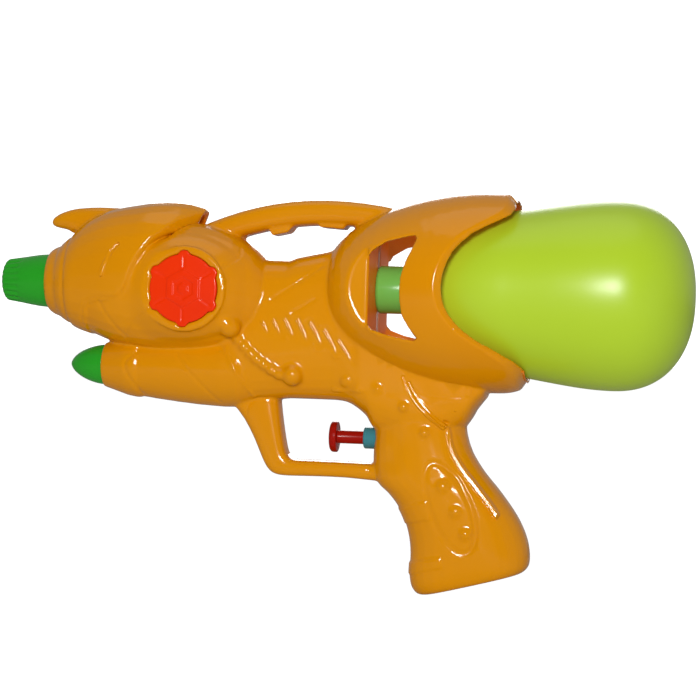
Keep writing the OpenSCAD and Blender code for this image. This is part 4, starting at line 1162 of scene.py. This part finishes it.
# %% Hoses
ELBOW_X, UP_ELBOW, DOWN_ELBOW = 205.2 - 4.6, -51.48, -84.32
hose("dip_tube", "pickup_tube", [
    (180.2, 0, 0), (185.2, 0, 0), (191.2, 0, 0), (201, 0, -1.6), (212, 0, -6), (226, 0, -13),
    (242, 0, -21), (258, 0, -28), (272, 0, -33), (284, 0, -36)])
hose("tank_to_pump_hose", "intake_hose", [
    (170.9, 0, 0), (165.9, 0, 0), (160.9, 0, 0), (156, 1, -1.2), (152, 3, -5.5), (150.4, 5, -12),
    (152, 7, -20), (157, 8.6, -28), (166, 9.8, -35.4), (176, 10.3, -42.4), (184, 10.4, -49),
    (190, 10.4, -56), (192.4, 10.4, -64), (191.4, 10.3, -73), (189.4, 8.4, DOWN_ELBOW + 6),
    (187.8, 4.6, DOWN_ELBOW + 1.6), (188.6, 1.2, DOWN_ELBOW), (ELBOW_X - 9, 0, DOWN_ELBOW),
    (ELBOW_X - 4, 0, DOWN_ELBOW), (ELBOW_X, 0, DOWN_ELBOW)])
hose("pump_to_nozzle_hose", "outlet_hose", [
    (ELBOW_X, 0, UP_ELBOW), (ELBOW_X - 5, 0, UP_ELBOW), (ELBOW_X - 11, 0, UP_ELBOW),
    (183, -2, -49), (176, -5, -45.6), (168, -7, -41), (158, -8, -35.5), (148, -8, -30),
    (136, -7.4, -24), (122, -5.4, -17), (108, -3, -10.6), (94, -1, -5.6), (80, 0, -2.2),
    (68, 0, -0.6), (50.2, 0, 0), (46.2, 0, 0), (41.2, 0, 0), (36.2, 0, 0)])

# %% [markdown]
# The spring's far end stands on the pump's bottom. The coil is drawn from end to end of the
# spring's node, and it gets a mesh of its own.

# %% Spring
spring_low, spring_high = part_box("return_spring")
STROKE, WIRE_R, TURNS, KNOTS = 11, 0.4, 7, 16
spring_r = (spring_high.y - spring_low.y) / 2 / MM - WIRE_R
start_x, end_x = spring_low.x / MM + WIRE_R, spring_high.x / MM - WIRE_R
steps = TURNS * KNOTS
coil = [(start_x + (end_x - start_x) * i / steps, spring_r * math.cos(2 * math.pi * i / KNOTS),
         PUMP_Z + spring_r * math.sin(2 * math.pi * i / KNOTS)) for i in range(steps + 1)]
spring = piece("wire_spring", drawn_line("coil", coil, WIRE_R), "body", "steel", "return_spring")
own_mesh(spring)

# %% [markdown]
# ## Finishes of the hidden pieces
# Pump, valves, seals and screws keep their own solids. Each only gets the finish of its slot.

# %% Finishes of the nodes that stay
for part in frame["record"]["subparts"]:
    node = frame["nodes"][part["node"]]
    node.data.materials.clear()
    node.data.materials.append(FINISHES[part["material_slot"]])

# %% [markdown]
# ## Floor and light
# The picture has a white ground and a lamp beside the camera, which puts small bright spots in the
# middle of every round form. A pale floor, a lamp near the camera, three wide soft lamps and a pale
# sky give the same.

# %% Floor
FLOOR_R, FLOOR_X = 30.0, 0.16
PALE, PALER = (0.38, 0.38, 0.38, 1), (0.42, 0.42, 0.42, 1)
GROUND, SEEN, BOUNCED = 1.13, 0.9, 0.3  # the ground's own light, and its share for two kinds of ray
floor_mesh = bmesh.new()
bmesh.ops.create_circle(floor_mesh, cap_ends=True, segments=96, radius=FLOOR_R)
bmesh.ops.translate(floor_mesh, verts=floor_mesh.verts, vec=(FLOOR_X, 0, cad_box[0].z))
floor = add("floor", to_mesh(floor_mesh))
FLOOR, pale = blank(bpy.data.materials, "pale floor")
grain = pale.noise(pale.node("ShaderNodeTexCoord", out="Object"), 40.0)
pale_shader = pale.node("ShaderNodeBsdfDiffuse", None,
                        {"Color": pale.mix(grain, PALER, PALE), "Roughness": 0.5})
lit = pale.node("ShaderNodeEmission", None, {"Color": BRIGHT, "Strength": GROUND})
seen = pale.node("ShaderNodeLightPath", out="Is Camera Ray")
bounced = pale.node("ShaderNodeLightPath", out="Is Diffuse Ray")
lifted = pale.node("ShaderNodeMixShader", None, {0: SEEN * seen + BOUNCED * bounced, 1: pale_shader, 2: lit})
pale.node("ShaderNodeOutputMaterial", None, {"Surface": lifted})
floor.data.materials.append(FLOOR)
print("floor at", round(cad_box[0].z, 4))


# %% Lamps
def lamp(name, place, size, power):
    data = bpy.data.lights.new(name, "AREA")
    data.shape = "DISK"
    data.size = size
    data.energy = power
    made = add(name, data)
    made.location = place
    made.rotation_mode = "QUATERNION"
    made.rotation_quaternion = (AIM - Vector(place)).to_track_quat("-Z", "Y")
    return made


lamp("front lamp", (0.26, -1.02, 0.17), 0.22, 7.0)
lamp("top lamp", (0.15, -0.1, 1.3), 1.2, 2)
lamp("back lamp", (0.05, 1.5, 0.5), 0.9, 9)
lamp("side lamp", (1.2, -0.7, 0.05), 0.8, 1.2).visible_glossy = False
print("lamps", len(bpy.data.lights))

# %% [markdown]
# The camera sees a white sky, but less light comes from the camera's side of it, so that the gloss
# keeps its deep tones.

# %% Sky
SKY_SIDE, SKY_LIGHT = (-0.9, 0.3), (0.07, 0.36)
sky, air = blank(bpy.data.worlds, "pale sky")
bpy.context.scene.world = sky
ray = air.node("ShaderNodeLightPath", out="Is Camera Ray")
way = air.node("ShaderNodeTexCoord", out="Generated")
back = air.node("ShaderNodeSeparateXYZ", None, {"Vector": way}, out="Y")
glow = air.node("ShaderNodeMapRange", {"interpolation_type": "SMOOTHSTEP"}, {
    "Value": back, "From Min": SKY_SIDE[0], "From Max": SKY_SIDE[1],
    "To Min": SKY_LIGHT[0], "To Max": SKY_LIGHT[1]})
air_shader = air.node("ShaderNodeBackground", None, {"Color": BRIGHT, "Strength": glow + ray})
air.node("ShaderNodeOutputWorld", None, {"Surface": air_shader})
bpy.context.scene.view_settings.view_transform = "Standard"
print("sky nodes", len(sky.node_tree.nodes))
